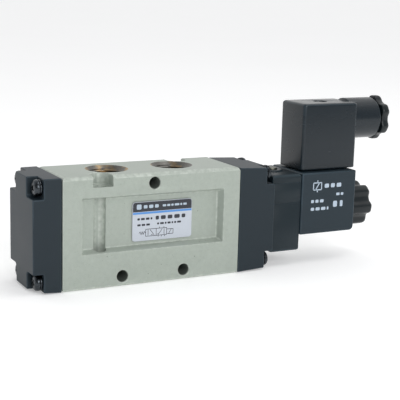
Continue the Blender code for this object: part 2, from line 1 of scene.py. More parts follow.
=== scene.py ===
"""Looks of the solenoid directional valve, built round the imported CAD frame.

Lengths are in millimetres in valve coordinates (x from the body's left end,
y = 0 in the middle with the front at -y, z from the floor) and P() turns them
into the frame's metres.
"""
import math
import random

import bmesh
import bpy
from mathutils import Matrix, Vector


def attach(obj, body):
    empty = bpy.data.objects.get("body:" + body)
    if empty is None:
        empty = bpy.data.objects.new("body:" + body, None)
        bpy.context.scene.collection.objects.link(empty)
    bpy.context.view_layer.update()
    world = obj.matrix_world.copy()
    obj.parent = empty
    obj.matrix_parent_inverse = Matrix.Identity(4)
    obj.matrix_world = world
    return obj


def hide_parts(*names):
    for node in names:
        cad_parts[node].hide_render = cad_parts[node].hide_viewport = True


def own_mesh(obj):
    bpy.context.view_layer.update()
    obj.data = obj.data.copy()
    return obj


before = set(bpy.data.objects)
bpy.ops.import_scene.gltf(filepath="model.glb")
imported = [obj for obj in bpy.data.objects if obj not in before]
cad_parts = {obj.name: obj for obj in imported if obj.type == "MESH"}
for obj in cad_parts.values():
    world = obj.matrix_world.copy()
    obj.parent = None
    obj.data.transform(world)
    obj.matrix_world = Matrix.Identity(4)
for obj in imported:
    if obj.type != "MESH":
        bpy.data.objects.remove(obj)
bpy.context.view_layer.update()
random.seed(7)

MM = 0.001
HW, BODY_L, BODY_H = 16.0, 86.0, 50.0
MID = (174.3 - 13.1) / 2.0
SPOOL_Z = 25.0
TAU = 2 * math.pi


def P(x, y, z):
    return Vector(((x - MID) * MM, y * MM, z * MM))


# =================================================================== camera
C = Vector((-0.2331177, -0.4281995, 0.1318574))
R = Vector((0.8862581, -0.4624131, 0.0268455))
U = Vector((0.0698187, 0.1906600, 0.9791701))
F = Vector((0.4578994, 0.8659231, -0.2012591))
cam_data = bpy.data.cameras.new("camera")
cam_data.sensor_width = 36.0
cam_data.lens = 36.0 * 1055.9 / 400.0
cam_data.clip_start = 0.01
cam_data.clip_end = 60.0
cam = bpy.data.objects.new("camera", cam_data)
cam.matrix_world = Matrix(((R.x, U.x, -F.x, C.x), (R.y, U.y, -F.y, C.y),
                           (R.z, U.z, -F.z, C.z), (0, 0, 0, 1)))
bpy.context.scene.collection.objects.link(cam)
bpy.context.scene.camera = cam
bpy.context.scene.view_settings.view_transform = "Standard"


# ================================================================ materials
class Nodes:
    """Small helper for building a node material."""

    def __init__(self, name):
        self.m = bpy.data.materials.new(name)
        self.m.use_nodes = True
        self.t = self.m.node_tree
        self.b = self.t.nodes["Principled BSDF"]
        tc = self.t.nodes.new("ShaderNodeTexCoord")
        self.co = tc.outputs["Object"]

    def new(self, kind, **props):
        n = self.t.nodes.new(kind)
        for k, v in props.items():
            setattr(n, k, v)
        return n

    def link(self, a, b):
        self.t.links.new(a, b)

    def noise(self, scale, detail=3.0, rough=0.55, stretch=None):
        n = self.new("ShaderNodeTexNoise")
        n.inputs["Scale"].default_value = scale
        n.inputs["Detail"].default_value = detail
        n.inputs["Roughness"].default_value = rough
        src = self.co
        if stretch:
            mp = self.new("ShaderNodeMapping")
            mp.inputs["Scale"].default_value = stretch
            self.link(src, mp.inputs["Vector"])
            src = mp.outputs["Vector"]
        self.link(src, n.inputs["Vector"])
        return n.outputs["Fac"]

    def ramp(self, fac, stops):
        r = self.new("ShaderNodeValToRGB")
        e = r.color_ramp.elements
        while len(e) < len(stops):
            e.new(0.5)
        for el, (pos, col) in zip(e, stops):
            el.position = pos
            el.color = (*col, 1.0) if len(col) == 3 else col
        self.link(fac, r.inputs["Fac"])
        return r.outputs["Color"]

    def mix(self, fac, a, b):
        n = self.new("ShaderNodeMix", data_type="RGBA")
        if isinstance(fac, float):
            n.inputs["Factor"].default_value = fac
        else:
            self.link(fac, n.inputs["Factor"])
        for sock, v in (("A", a), ("B", b)):
            s = [i for i in n.inputs if i.name == sock and i.type == "RGBA"][0]
            if isinstance(v, tuple):
                s.default_value = (*v, 1.0)
            else:
                self.link(v, s)
        return [o for o in n.outputs if o.type == "RGBA"][0]

    def maths(self, op, a, b=0.0, c=None):
        n = self.new("ShaderNodeMath", operation=op)
        for i, v in enumerate((a, b) if c is None else (a, b, c)):
            if isinstance(v, (int, float)):
                n.inputs[i].default_value = v
            else:
                self.link(v, n.inputs[i])
        return n.outputs[0]

    def range(self, fac, lo, hi, to_lo, to_hi):
        n = self.new("ShaderNodeMapRange")
        self.link(fac, n.inputs["Value"])
        for k, v in (("From Min", lo), ("From Max", hi), ("To Min", to_lo),
                     ("To Max", to_hi)):
            n.inputs[k].default_value = v
        return n.outputs["Result"]

    # edge-face mask: the materials lighten these faces, partly as wear and partly as a painted
    # edge highlight
    def edge_wear_and_sheen(self):
        n = self.new("ShaderNodeAttribute", attribute_name="edge_wear_and_sheen")
        return n.outputs["Fac"]

    def bump(self, height, strength, distance, after=None):
        n = self.new("ShaderNodeBump")
        n.inputs["Strength"].default_value = strength
        n.inputs["Distance"].default_value = distance
        self.link(height, n.inputs["Height"])
        if after is not None:
            self.link(after, n.inputs["Normal"])
        return n.outputs["Normal"]


def cast_body():
    n = Nodes("cast_body")
    fine = n.noise(2600, 2.0)
    mid = n.noise(520, 3.0)
    broad = n.noise(38, 2.0)
    col = n.ramp(mid, [(0.28, (0.362, 0.404, 0.358)), (0.52, (0.382, 0.426, 0.378)),
                       (0.78, (0.404, 0.449, 0.400))])
    spot = n.ramp(fine, [(0.30, (0.19, 0.21, 0.185)), (0.37, (1, 1, 1))])
    mul = n.new("ShaderNodeMix", data_type="RGBA", blend_type="MULTIPLY")
    mul.inputs["Factor"].default_value = 0.26
    ins = [i for i in mul.inputs if i.type == "RGBA"]
    n.link(col, ins[0])
    n.link(spot, ins[1])
    col = [o for o in mul.outputs if o.type == "RGBA"][0]
    col = n.mix(n.range(broad, 0.35, 0.65, 0.0, 0.10), col, (0.37, 0.40, 0.375))
    # edge faces lightened to pale grey-green: partly wear, partly a painted highlight on the
    # rounded top edge
    edge = n.maths("MULTIPLY", n.edge_wear_and_sheen(), n.range(mid, 0.35, 0.7, 0.1, 0.5))
    col = n.mix(edge, col, (0.66, 0.70, 0.64))
    # sparse casting pits
    v = n.new("ShaderNodeTexVoronoi")
    v.inputs["Scale"].default_value = 300
    n.link(n.co, v.inputs["Vector"])
    near = n.maths("LESS_THAN", v.outputs["Distance"], 0.085)
    sep = n.new("ShaderNodeSeparateColor")
    n.link(v.outputs["Color"], sep.inputs["Color"])
    pick = n.maths("GREATER_THAN", sep.outputs["Red"], 0.80)
    pit = n.maths("MULTIPLY", near, pick)
    col = n.mix(n.maths("MULTIPLY", pit, 0.55), col, (0.10, 0.12, 0.10))
    n.link(col, n.b.inputs["Base Color"])
    n.b.inputs["Metallic"].default_value = 0.22
    n.link(n.range(mid, 0.3, 0.7, 0.42, 0.50), n.b.inputs["Roughness"])
    h = n.maths("SUBTRACT", fine, n.maths("MULTIPLY", pit, 1.5))
    nrm = n.bump(h, 0.30, 0.00006)
    nrm = n.bump(mid, 0.12, 0.00010, nrm)
    n.link(nrm, n.b.inputs["Normal"])
    return n.m


def machined(name, color, rough, stretch=(1, 1, 1), tint=None, metal=1.0, warm=0.35):
    n = Nodes(name)
    s = n.noise(900, 2.0, 0.5, stretch)
    b = n.noise(150, 2.0)
    dark = tuple(c * 0.72 for c in color)
    col = n.mix(n.range(s, 0.35, 0.65, 0.0, 1.0), dark, color)
    if tint:
        col = n.mix(n.range(b, 0.50, 0.62, 0.0, warm), col, tint)
    n.link(col, n.b.inputs["Base Color"])
    n.b.inputs["Metallic"].default_value = metal
    n.link(n.range(s, 0.3, 0.7, rough * 0.8, rough * 1.25), n.b.inputs["Roughness"])
    n.link(n.bump(s, 0.18, 0.00004), n.b.inputs["Normal"])
    return n.m


def plastic(name, color, rough, grain=2400, bump=0.22, coat=0.0, edge_wear_sheen_col=None,
            spec=0.4):
    n = Nodes(name)
    n.b.inputs["Specular IOR Level"].default_value = spec
    g = n.noise(grain, 2.0, 0.6)
    flow = n.noise(46, 3.0, 0.6, (0.5, 1.0, 1.6))
    lo = tuple(c * 0.93 for c in color)
    hi = tuple(c * 1.08 for c in color)
    col = n.ramp(flow, [(0.15, lo), (0.5, color), (0.85, hi)])
    speck = n.noise(5200, 1.0)
    col = n.mix(n.range(speck, 0.68, 0.76, 0.0, 0.22), col,
                tuple(min(1.0, c * 3.0 + 0.01) for c in color))
    # edge faces lightened: partly wear, partly a painted highlight along the edges of the
    # plastic parts
    wear_sheen_col = edge_wear_sheen_col or tuple(min(1.0, c * 2.6 + 0.012) for c in color)
    edge = n.maths("MULTIPLY", n.edge_wear_and_sheen(), n.range(flow, 0.35, 0.68, 0.10, 0.55))
    col = n.mix(edge, col, wear_sheen_col)
    n.link(col, n.b.inputs["Base Color"])
    n.link(n.range(flow, 0.1, 0.9, rough * 0.94, rough * 1.08), n.b.inputs["Roughness"])
    if coat:
        n.b.inputs["Coat Weight"].default_value = coat
        n.b.inputs["Coat Roughness"].default_value = 0.22
    n.link(n.bump(g, bump, 0.00005), n.b.inputs["Normal"])
    return n.m


def ink(name, color, rough=0.45):
    n = Nodes(name)
    g = n.noise(3800, 2.0)
    col = n.mix(n.range(g, 0.35, 0.7, 0.0, 0.3), color, tuple(c * 0.72 for c in color))
    n.link(col, n.b.inputs["Base Color"])
    n.link(n.range(g, 0.3, 0.7, rough * 0.9, rough * 1.15), n.b.inputs["Roughness"])
    n.link(n.bump(g, 0.08, 0.00002), n.b.inputs["Normal"])
    return n.m


def winding_mat():
    n = Nodes("winding_copper")
    w = n.new("ShaderNodeTexWave", wave_type="BANDS", bands_direction="X")
    w.inputs["Scale"].default_value = 780
    w.inputs["Distortion"].default_value = 0.3
    n.link(n.co, w.inputs["Vector"])
    col = n.ramp(w.outputs["Fac"], [(0.1, (0.26, 0.09, 0.03)), (0.7, (0.62, 0.26, 0.11))])
    n.link(col, n.b.inputs["Base Color"])
    n.b.inputs["Metallic"].default_value = 0.9
    n.b.inputs["Roughness"].default_value = 0.34
    n.link(n.bump(w.outputs["Fac"], 0.6, 0.00008), n.b.inputs["Normal"])
    return n.m


M = {
    "cast": cast_body(),
    "bore": machined("machined_bore", (0.200, 0.195, 0.180), 0.40, (1, 1, 6),
                     (0.460, 0.310, 0.150), 1.0, 0.70),
    # darker than the casting: painted shade on the walls of the side holes
    "hole_shade": machined("drilled_hole_shade", (0.150, 0.170, 0.152), 0.50, (1, 6, 1), None, 0.3),
    "black": plastic("black_resin", (0.0130, 0.0225, 0.0300), 0.46, spec=0.30),
    "pilot": plastic("pilot_resin", (0.0105, 0.0195, 0.0255), 0.42, spec=0.28),
    "coil": plastic("coil_resin", (0.0150, 0.0270, 0.0365), 0.42, 3000, 0.16, spec=0.30),
    "plug": plastic("plug_plastic", (0.0080, 0.0142, 0.0195), 0.27, 3400, 0.10, spec=0.40),
    "knob": plastic("knob_plastic", (0.0080, 0.0122, 0.0142), 0.32, 3000, 0.12, spec=0.34),
    "rubber": plastic("nitrile_rubber", (0.014, 0.014, 0.014), 0.68, 1600, 0.3),
    "blacksteel": machined("blackened_steel", (0.062, 0.070, 0.078), 0.25, (1, 1, 1)),
    "steel": machined("zinc_steel", (0.52, 0.53, 0.54), 0.30, (1, 1, 1)),
    "yoke": machined("yoke_steel", (0.40, 0.40, 0.40), 0.42, (1, 1, 1)),
    "stainless": machined("stainless_steel", (0.60, 0.60, 0.58), 0.24, (1, 5, 5)),
    "spring": machined("spring_wire", (0.56, 0.56, 0.54), 0.28, (1, 1, 1)),
    "alu": machined("spool_aluminium", (0.68, 0.69, 0.70), 0.26, (6, 1, 1)),
    "brass": machined("brass_button", (0.200, 0.205, 0.170), 0.36, (1, 1, 1)),
    "pin": machined("tinned_pin", (0.66, 0.60, 0.44), 0.30, (1, 1, 4)),
    "nylon": plastic("natural_nylon", (0.56, 0.54, 0.46), 0.48, 1600, 0.15),
    "copper": winding_mat(),
    "film": ink("label_film", (0.560, 0.600, 0.665), 0.36),
    "ink_dark": ink("ink_dark", (0.024, 0.027, 0.038), 0.36),
    "ink_grey": ink("ink_grey", (0.150, 0.170, 0.205), 0.40),
    "ink_blue": ink("ink_blue", (0.085, 0.290, 0.700), 0.36),
    "ink_pale": ink("ink_pale", (0.470, 0.560, 0.660), 0.50),
}


# ============================================================ mesh helpers
def finish_mesh(name, bm, mat, smooth=32.0, edge_wear_and_sheen=False, mats=None):
    bmesh.ops.remove_doubles(bm, verts=bm.verts, dist=1e-7)
    bmesh.ops.recalc_face_normals(bm, faces=bm.faces)
    me = bpy.data.meshes.new(name)
    bm.to_mesh(me)
    bm.free()
    for m in (mats or [mat]):
        me.materials.append(m)
    me.shade_smooth()
    me.set_sharp_from_angle(angle=math.radians(smooth))
    ob = bpy.data.objects.new(name, me)
    bpy.context.scene.collection.objects.link(ob)
    return ob


def apply_all(ob, smooth=32.0):
    """Turn what the modifiers make into the object's own mesh."""
    bpy.context.view_layer.update()
    dg = bpy.context.evaluated_depsgraph_get()
    me = bpy.data.meshes.new_from_object(ob.evaluated_get(dg),
                                         preserve_all_data_layers=True, depsgraph=dg)
    old = ob.data
    ob.modifiers.clear()
    ob.data = me
    bpy.data.meshes.remove(old)
    me.shade_smooth()
    me.set_sharp_from_angle(angle=math.radians(smooth))
    return ob


def boolean(target, tools, op="DIFFERENCE", keep=False):
    for tool in tools:
        m = target.modifiers.new("b", "BOOLEAN")
        m.operation = op
        m.solver = "EXACT"
        m.material_mode = "TRANSFER"
        m.object = tool
    apply_all(target)
    for tool in tools:
        if not keep:
            bpy.data.objects.remove(tool, do_unlink=True)
    return target


def soften(ob, width, seg=2, angle=38.0, mark=True):
    """Small real radius on every sharp edge; marks the new faces in the edge mask that the
    materials lighten, partly as wear and partly as a painted edge highlight.
    """
    m = ob.modifiers.new("soft", "BEVEL")
    m.limit_method = "ANGLE"
    m.angle_limit = math.radians(angle)
    m.width = width * MM
    m.segments = seg
    m.use_clamp_overlap = True
    m.miter_outer = "MITER_ARC"
    m.harden_normals = False
    apply_all(ob, 45.0)
    if mark:
        mark_edge_wear_and_sheen(ob)
    w = ob.modifiers.new("wn", "WEIGHTED_NORMAL")
    w.keep_sharp = True
    w.weight = 60
    apply_normals(ob)
    return ob


def apply_normals(ob):
    bpy.context.view_layer.update()
    dg = bpy.context.evaluated_depsgraph_get()
    me = bpy.data.meshes.new_from_object(ob.evaluated_get(dg),
                                         preserve_all_data_layers=True, depsgraph=dg)
    old = ob.data
    ob.modifiers.clear()
    ob.data = me
    bpy.data.meshes.remove(old)


def mark_edge_wear_and_sheen(ob):
    """Faces that look along no main axis and are narrow are edge faces; the materials lighten
    them, partly as wear and partly as a painted edge highlight.
    """
    me = ob.data
    if "edge_wear_and_sheen" in me.attributes:
        me.attributes.remove(me.attributes["edge_wear_and_sheen"])
    at = me.attributes.new("edge_wear_and_sheen", "FLOAT", "FACE")
    for p in me.polygons:
        n = p.normal
        top = max(abs(n.x), abs(n.y), abs(n.z))
        longest = max((me.vertices[a].co - me.vertices[b].co).length
                      for a, b in p.edge_keys)
        width = p.area / max(longest, 1e-9)
        at.data[p.index].value = 1.0 if top < 0.985 and width < 0.0007 else 0.0


def prism(name, outline, stations, axis, mat):
    """Loft one closed outline through stations [(t, fn)], fn moves its points."""
    bm = bmesh.new()
    rows = []
    for t, fn in stations:
        row = []
        for a, b in outline:
            a2, b2 = fn(a, b) if fn else (a, b)
            if axis == "X":
                row.append(bm.verts.new(P(t, a2, b2)))
            elif axis == "Y":
                row.append(bm.verts.new(P(a2, t, b2)))
            else:
                row.append(bm.verts.new(P(a2, b2, t)))
        rows.append(row)
    n = len(outline)
    for r0, r1 in zip(rows, rows[1:]):
        for i in range(n):
            j = (i + 1) % n
            bm.faces.new((r0[i], r0[j], r1[j], r1[i]))
    bm.faces.new(rows[0][::-1])
    bm.faces.new(rows[-1])
    return finish_mesh(name, bm, mat)


def rrect(a0, a1, b0, b1, r, seg=5):
    """Rounded rectangle outline, the same point count for any size."""
    pts = []
    for cx, cy, s in ((a1 - r, b1 - r, 0), (a0 + r, b1 - r, 1), (a0 + r, b0 + r, 2),
                      (a1 - r, b0 + r, 3)):
        for i in range(seg + 1):
            w = math.pi / 2 * (s + i / seg)
            pts.append((cx + r * math.cos(w), cy + r * math.sin(w)))
    return pts


def loft(name, rows_pts, mat, smooth=32.0):
    """Closed loft through rows of (x, y, z) points."""
    bm = bmesh.new()
    rows = [[bm.verts.new(P(*p)) for p in r] for r in rows_pts]
    n = len(rows[0])
    for r0, r1 in zip(rows, rows[1:]):
        for i in range(n):
            j = (i + 1) % n
            bm.faces.new((r0[i], r0[j], r1[j], r1[i]))
    bm.faces.new(rows[0][::-1])
    bm.faces.new(rows[-1])
    return finish_mesh(name, bm, mat, smooth)


def block(name, x, y, z, mat, r_edges=None, far=None):
    """A block; r_edges = [(test, radius, segments)], edges whose ends pass."""
    bm = bmesh.new()
    bmesh.ops.create_cube(bm, size=1.0)
    for v in bm.verts:
        q = Vector((x[0] if v.co.x < 0 else x[1], y[0] if v.co.y < 0 else y[1],
                    z[0] if v.co.z < 0 else z[1]))
        v.co = Vector(far(q)) if far else q
    for test, width, seg in r_edges or []:
        picked = [e for e in bm.edges if all(test(v.co) for v in e.verts)]
        if picked:
            bmesh.ops.bevel(bm, geom=picked, offset=width, segments=seg, profile=0.5,
                            affect="EDGES", clamp_overlap=True)
    for v in bm.verts:
        v.co = P(*v.co)
    return finish_mesh(name, bm, mat)


def fillet(points, closed, radius=0.25, seg=3):
    """Round the corners of a (t, r) profile; corners on the axis stay."""
    out = []
    n = len(points)
    for i, p in enumerate(points):
        if (not closed and i in (0, n - 1)) or p[1] <= 1e-6:
            out.append(p)
            continue
        a, b = points[(i - 1) % n], points[(i + 1) % n]
        va, vb = Vector(a) - Vector(p), Vector(b) - Vector(p)
        la, lb = va.length, vb.length
        if la < 1e-6 or lb < 1e-6:
            out.append(p)
            continue
        ang = va.angle(vb)
        if ang > math.radians(165):
            out.append(p)
            continue
        d = min(radius, la * 0.42, lb * 0.42)
        s, e = Vector(p) + va / la * d, Vector(p) + vb / lb * d
        for k in range(seg + 1):
            u = k / seg
            q = s * (1 - u) ** 2 + Vector(p) * 2 * u * (1 - u) + e * u * u
            out.append((q.x, q.y))
    return out


def turned(name, profile, at, axis, mat, seg=64, r=0.25, smooth=35.0):
    """Revolve a (t, r) profile, with small radii on its corners."""
    solid = profile[0][1] == 0 and profile[-1][1] == 0
    pts = fillet(profile, not solid, r) if r else profile
    bm = bmesh.new()

    def place(t, rad, w):
        c, s = rad * math.cos(w), rad * math.sin(w)
        if axis == "X":
            return P(at[0] + t, at[1] + c, at[2] + s)
        if axis == "Y":
            return P(at[0] + c, at[1] + t, at[2] + s)
        return P(at[0] + c, at[1] + s, at[2] + t)
    rows = []
    for t, rad in pts:
        if rad <= 1e-6:
            rows.append([bm.verts.new(place(t, 0, 0))])
        else:
            rows.append([bm.verts.new(place(t, rad, TAU * i / seg))
                         for i in range(seg)])
    pairs = list(zip(rows, rows[1:])) + ([] if solid else [(rows[-1], rows[0])])
    for a, b in pairs:
        for i in range(seg):
            j = (i + 1) % seg
            if len(a) == 1 and len(b) == 1:
                continue
            if len(a) == 1:
                bm.faces.new((a[0], b[j], b[i]))
            elif len(b) == 1:
                bm.faces.new((a[i], a[j], b[0]))
            else:
                bm.faces.new((a[i], a[j], b[j], b[i]))
    return finish_mesh(name, bm, mat, smooth)


def torus(name, r_mid, r_tube, t, at, axis, mat, seg=64, sides=14):
    pts = [(t + r_tube * math.sin(TAU * i / sides), r_mid + r_tube * math.cos(TAU * i / sides))
           for i in range(sides)]
    return turned(name, pts, at, axis, mat, seg, 0)


def helix_bore(name, at, sign, stations, pitch, depth_of, mat, seg=56, per=7):
    """A threaded bore cutter along Z: radius from stations, helical groove.

    stations: (t, r, amp); amp is the thread's half height there.  sign is the
    direction along Z in which t grows.
    """
    rows = []
    for (t0, r0, a0), (t1, r1, a1) in zip(stations, stations[1:]):
        steps = max(1, int(abs(t1 - t0) / pitch * per)) if (a0 or a1) else 1
        for k in range(steps):
            u = k / steps
            rows.append((t0 + (t1 - t0) * u, r0 + (r1 - r0) * u, a0 + (a1 - a0) * u))
    rows.append(stations[-1])
    pts = []
    for t, rad, amp in rows:
        row = []
        for i in range(seg):
            w = TAU * i / seg
            ph = (t / pitch - w / TAU) % 1.0
            tri = 4 * abs(ph - 0.5) - 1.0
            rr = rad + amp * max(-0.82, min(0.82, tri)) / 0.82
            row.append((at[0] + rr * math.cos(w), at[1] + rr * math.sin(w),
                        at[2] + sign * t))
        pts.append(row)
    return loft(name, pts, mat)


def paint(ob, test, mat):
    """Give the faces whose centre (in mm) passes the test another material."""
    ob.data.materials.append(mat)
    k = len(ob.data.materials) - 1
    for p in ob.data.polygons:
        c = p.center
        if test(Vector((c.x / MM + MID, c.y / MM, c.z / MM))):
            p.material_index = k
    return ob


def ride(ob, node=None, body="valve"):
    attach(ob, body)
    if node:
        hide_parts(*([node] if isinstance(node, str) else node))
    return ob


# ============================================================== valve body
body = block("body_casting", (0, BODY_L), (-HW, HW), (0, BODY_H), M["cast"], r_edges=[
    (lambda v: v.z > BODY_H - 0.01 and abs(v.y) > HW - 0.01, 2.0, 7),
    (lambda v: v.z < 0.01 and abs(v.y) > HW - 0.01, 1.0, 4)])
body.data.materials.append(M["bore"])
body.data.materials.append(M["hole_shade"])


def recess_cutter(side):
    """Drafted pocket with rounded corners, a lip radius and a floor fillet."""
    x0, x1 = (8.8, 77.9) if side < 0 else (BODY_L - 77.9, BODY_L - 8.8)
    z0, z1 = 15.6, 40.5
    rows = []
    for depth, inset, r in ((-1.0, -0.9, 0.9), (-0.02, -0.26, 0.7), (0.06, -0.14, 0.6),
                            (0.2, -0.02, 0.55), (0.4, 0.10, 0.5), (3.75, 1.18, 0.7),
                            (4.05, 1.40, 0.7), (4.2, 1.78, 0.6)):
        y = side * (HW - depth)
        rows.append([(a, y, b) for a, b in rrect(x0 + inset, x1 - inset, z0 + inset,
                                                 z1 - inset, r)])
    return loft("c_recess", rows, M["cast"])


def slot_cutter(x, y, s):
    """Head seat: round at the back, open to the face, with a soft rim."""
    rows = []
    for z, g in ((51.0, 1.2), (50.0, 0.32), (49.84, 0.14), (49.6, 0.0), (45.15, 0.0),
                 (44.9, -0.22)):
        pts = []
        rr = 4.6 + g
        for i in range(25):
            w = math.pi * i / 24
            pts.append((x + rr * math.cos(w), y - s * rr * math.sin(w), z))
        flare = 0.35
        pts += [(x - rr, s * (HW - 0.4), z), (x - rr - flare * 0.35, s * (HW - 0.12), z),
                (x - rr - flare, s * HW, z), (x - rr - flare * 4, s * (HW + 1.2), z),
                (x + rr + flare * 4, s * (HW + 1.2), z), (x + rr + flare, s * HW, z),
                (x + rr + flare * 0.35, s * (HW - 0.12), z), (x + rr, s * (HW - 0.4), z)]
        rows.append(pts)
    return loft("c_seat", rows, M["cast"])


first = [recess_cutter(-1), recess_cutter(1)]
for x, z in ((43.0, 45.3), (28.0, 4.4), (58.0, 4.4)):
    r = 2.65
    first.append(turned("c_side", [(-HW - 1, 0), (-HW - 1, r + 1.6), (-HW, r + 0.55),
                                   (-HW + 0.18, r + 0.22), (-HW + 0.55, r), (HW - 0.55, r),
                                   (HW - 0.18, r + 0.22), (HW, r + 0.55),
                                   (HW + 1, r + 1.6), (HW + 1, 0)], (x, 0, z), "Y",
                        M["cast"], 48, 0))
    # the side-hole walls take the darker hole material, a painted shade
    paint(first[-1], lambda q: abs(q.y) < HW - 0.56, M["hole_shade"])
for x, y in ((18.5, -12.0), (66.6, 12.0)):
    s = -1 if y < 0 else 1
    first.append(slot_cutter(x, y, s))
    first.append(turned("c_down", [(-1, 0), (-1, 3.9), (0.0, 3.15), (0.3, 2.9),
                                   (44.6, 2.9), (44.9, 3.2), (46.0, 3.2), (46.0, 0)],
                        (x, y, 0), "Z", M["cast"], 40, 0))
for x, inner in ((26.5, 27.5), (58.5, 58.5)):
    first.append(helix_bore("c_port", (x, 0, 50.0), -1, [
        (-1.0, 10.6, 0), (-0.02, 9.66, 0), (0.12, 9.46, 0), (0.5, 9.15, 0),
        (1.5, 8.25, 0), (1.8, 8.05, 0.36), (10.6, 7.9, 0.36), (11.0, 7.9, 0),
        (12.0, 7.8, 0)], 1.337, None, M["bore"]))
    first.append(turned("c_pass", [(32.8, 0), (32.8, 4.6), (38.5, 4.6), (38.5, 0)],
                        (inner, 0, 0), "Z", M["bore"], 56, 0))
first.append(helix_bore("c_port", (43.0, 0, 0), 1, [
    (-1.0, 10.8, 0), (-0.02, 9.82, 0), (0.12, 9.55, 0), (0.5, 9.2, 0), (1.5, 8.25, 0),
    (1.8, 8.05, 0.36), (10.6, 7.9, 0.36), (11.0, 7.9, 0), (12.0, 7.8, 0),
    (12.0, 4.6, 0), (17.2, 4.6, 0)], 1.337, None, M["bore"]))
for x in (17.0, 69.0):
    first.append(helix_bore("c_port", (x, 0, 0), 1, [
        (-1.0, 8.4, 0), (-0.02, 7.42, 0), (0.12, 7.15, 0), (0.5, 6.9, 0),
        (1.0, 6.45, 0), (1.3, 6.3, 0.34), (7.8, 6.2, 0.34), (8.2, 6.2, 0),
        (9.0, 6.1, 0), (9.0, 4.0, 0), (17.2, 4.0, 0)], 1.337, None, M["bore"]))
bore = [(-1.0, 0), (-1.0, 7.0)]
for c in (17.0, 27.5, 43.0, 58.5, 69.0):
    bore += [(c - 3.4, 7.0), (c - 3.4, 8.1), (c + 3.4, 8.1), (c + 3.4, 7.0)]
bore += [(BODY_L + 1.0, 7.0), (BODY_L + 1.0, 0)]
first.append(turned("c_bore", bore, (0, 0, SPOOL_Z), "X", M["bore"], 48, 0))
for sy in (-1, 1):
    for z in (4.3, 45.7):
        for a, b in ((-1, 10.5), (BODY_L - 10.5, BODY_L + 1)):
            first.append(turned("c_tap", [(a, 0), (a, 2.2), (b, 2.2), (b, 0)],
                                (0, sy * 11.2, z), "X", M["bore"], 20, 0))
first.append(turned("c_gal", [(47.5, 0), (47.5, 1.1), (87, 1.1), (87, 0)],
                    (0, 5.6, 11), "X", M["bore"], 16, 0))
boolean(body, first)
mark_edge_wear_and_sheen(body)
ride(body, "valve_body")


# ======================================================= end cap, adapter
def pocket(x0, x1, sy, up, wall, edge, corner):
    """Corner pocket cutter with a rounded inner corner."""
    y0 = wall
    r, seg = 1.6, 7
    ring = []
    for i in range(seg + 1):
        w = math.pi / 2 * i / seg
        ring.append((y0 + r - r * math.cos(w), r - r * math.sin(w)))
    outline = [(20.0, 0.0)] + [(a, b) for a, b in reversed(ring)] + [(y0, 14.0), (20.0, 14.0)]
    rows = []
    for x in (x0, x1):
        rows.append([(x, sy * a, (edge + b) if up else (edge - b)) for a, b in outline])
    return loft("c_pocket", rows, corner)


def cap_draft(q):
    k = max(0.0, -q.x) / 13.1
    return (q.x, q.y * (1 - 0.4 * k / HW), q.z + (0.7 * k if q.z < 25 else 0))


cap = block("left_end_cap", (-13.1, -0.3), (-HW, HW), (0, BODY_H), M["black"], far=cap_draft)
tools = [pocket(-16.0, -8.2, sy, up, 7.3, 41.3 if up else 8.7, M["black"])
         for sy in (-1, 1) for up in (0, 1)]
boolean(cap, tools)
soften(cap, 0.5, 3)
tools = [turned("c_s", [(-10.6, 0), (-10.6, 4.6), (1, 4.6), (1, 0)], (0, 0, SPOOL_Z), "X",
                M["black"], 40, 0),
         block("c_g", (-1.3, 1), (-12.9, 12.9), (9.1, 40.9), M["black"])]
for sy in (-1, 1):
    for z in (4.3, 45.7):
        tools.append(turned("c_h", [(-20, 0), (-20, 2.3), (5, 2.3), (5, 0)],
                            (0, sy * 11.2, z), "X", M["black"], 28, 0))
boolean(cap, tools)
mark_edge_wear_and_sheen(cap)
ride(cap, "end_cap")


def adapter_draft(q):
    k = (q.x - 86.3) / 18.7
    return (q.x, q.y, q.z + (0.1 + 1.0 * k if q.z < 25 else -0.6 - 0.8 * k))


adapter = block("pilot_adapter_cover", (86.3, 105.0), (-HW, HW), (0, BODY_H), M["black"],
                far=adapter_draft, r_edges=[
    (lambda v: v.x > 104.99 and v.z > 40, 2.4, 6),
    (lambda v: v.x > 104.99 and v.z < 10, 1.2, 4)])
tools = [pocket(100.6, 108.0, sy, up, 7.3, 41.0 if up else 8.8, M["black"])
         for sy in (-1, 1) for up in (0, 1)]
boolean(adapter, tools)
soften(adapter, 0.45, 3)
tools = [turned("c_p", [(80, 0), (80, 10.0), (99.5, 10.0), (99.5, 0)], (0, 0, SPOOL_Z), "X",
                M["black"], 48, 0),
         block("c_g", (80, 87.3), (-13.4, 13.4), (9.1, 40.9), M["black"]),
         turned("c_a", [(95, 0), (95, 1.2), (110, 1.2), (110, 0)], (0, 0, SPOOL_Z), "X",
                M["black"], 16, 0),
         turned("c_b", [(80, 0), (80, 1.1), (110, 1.1), (110, 0)], (0, 5.6, 11), "X",
                M["black"], 16, 0)]
for sy in (-1, 1):
    tools.append(turned("c_t", [(99.2, 0), (99.2, 1.7), (110, 1.7), (110, 0)],
                        (0, sy * 10.2, 12.5), "X", M["black"], 20, 0))
    for z in (4.3, 45.7):
        tools.append(turned("c_h", [(80, 0), (80, 2.3), (110, 2.3), (110, 0)],
                            (0, sy * 11.2, z), "X", M["black"], 28, 0))
boolean(adapter, tools)
mark_edge_wear_and_sheen(adapter)
ride(adapter, "pilot_adapter")


# --------------------------------------------------- end screws and washers
def cross_cutter(x, y, z, s, spin):
    """Cross recess for a pan head, tapered, opening towards +s along X."""
    out = []
    for k in (0, 1):
        w = spin + k * math.pi / 2
        rows = []
        for depth, half, wide in ((-0.4, 1.95, 0.50), (1.35, 0.75, 0.24)):
            row = []
            for a, b in ((-half, -wide), (half, -wide), (half, wide), (-half, wide)):
                yy = a * math.cos(w) - b * math.sin(w)
                zz = a * math.sin(w) + b * math.cos(w)
                row.append((x - s * depth, y + yy, z + zz))
            rows.append(row)
        out.append(loft("c_cross", rows, M["blacksteel"]))
    return out


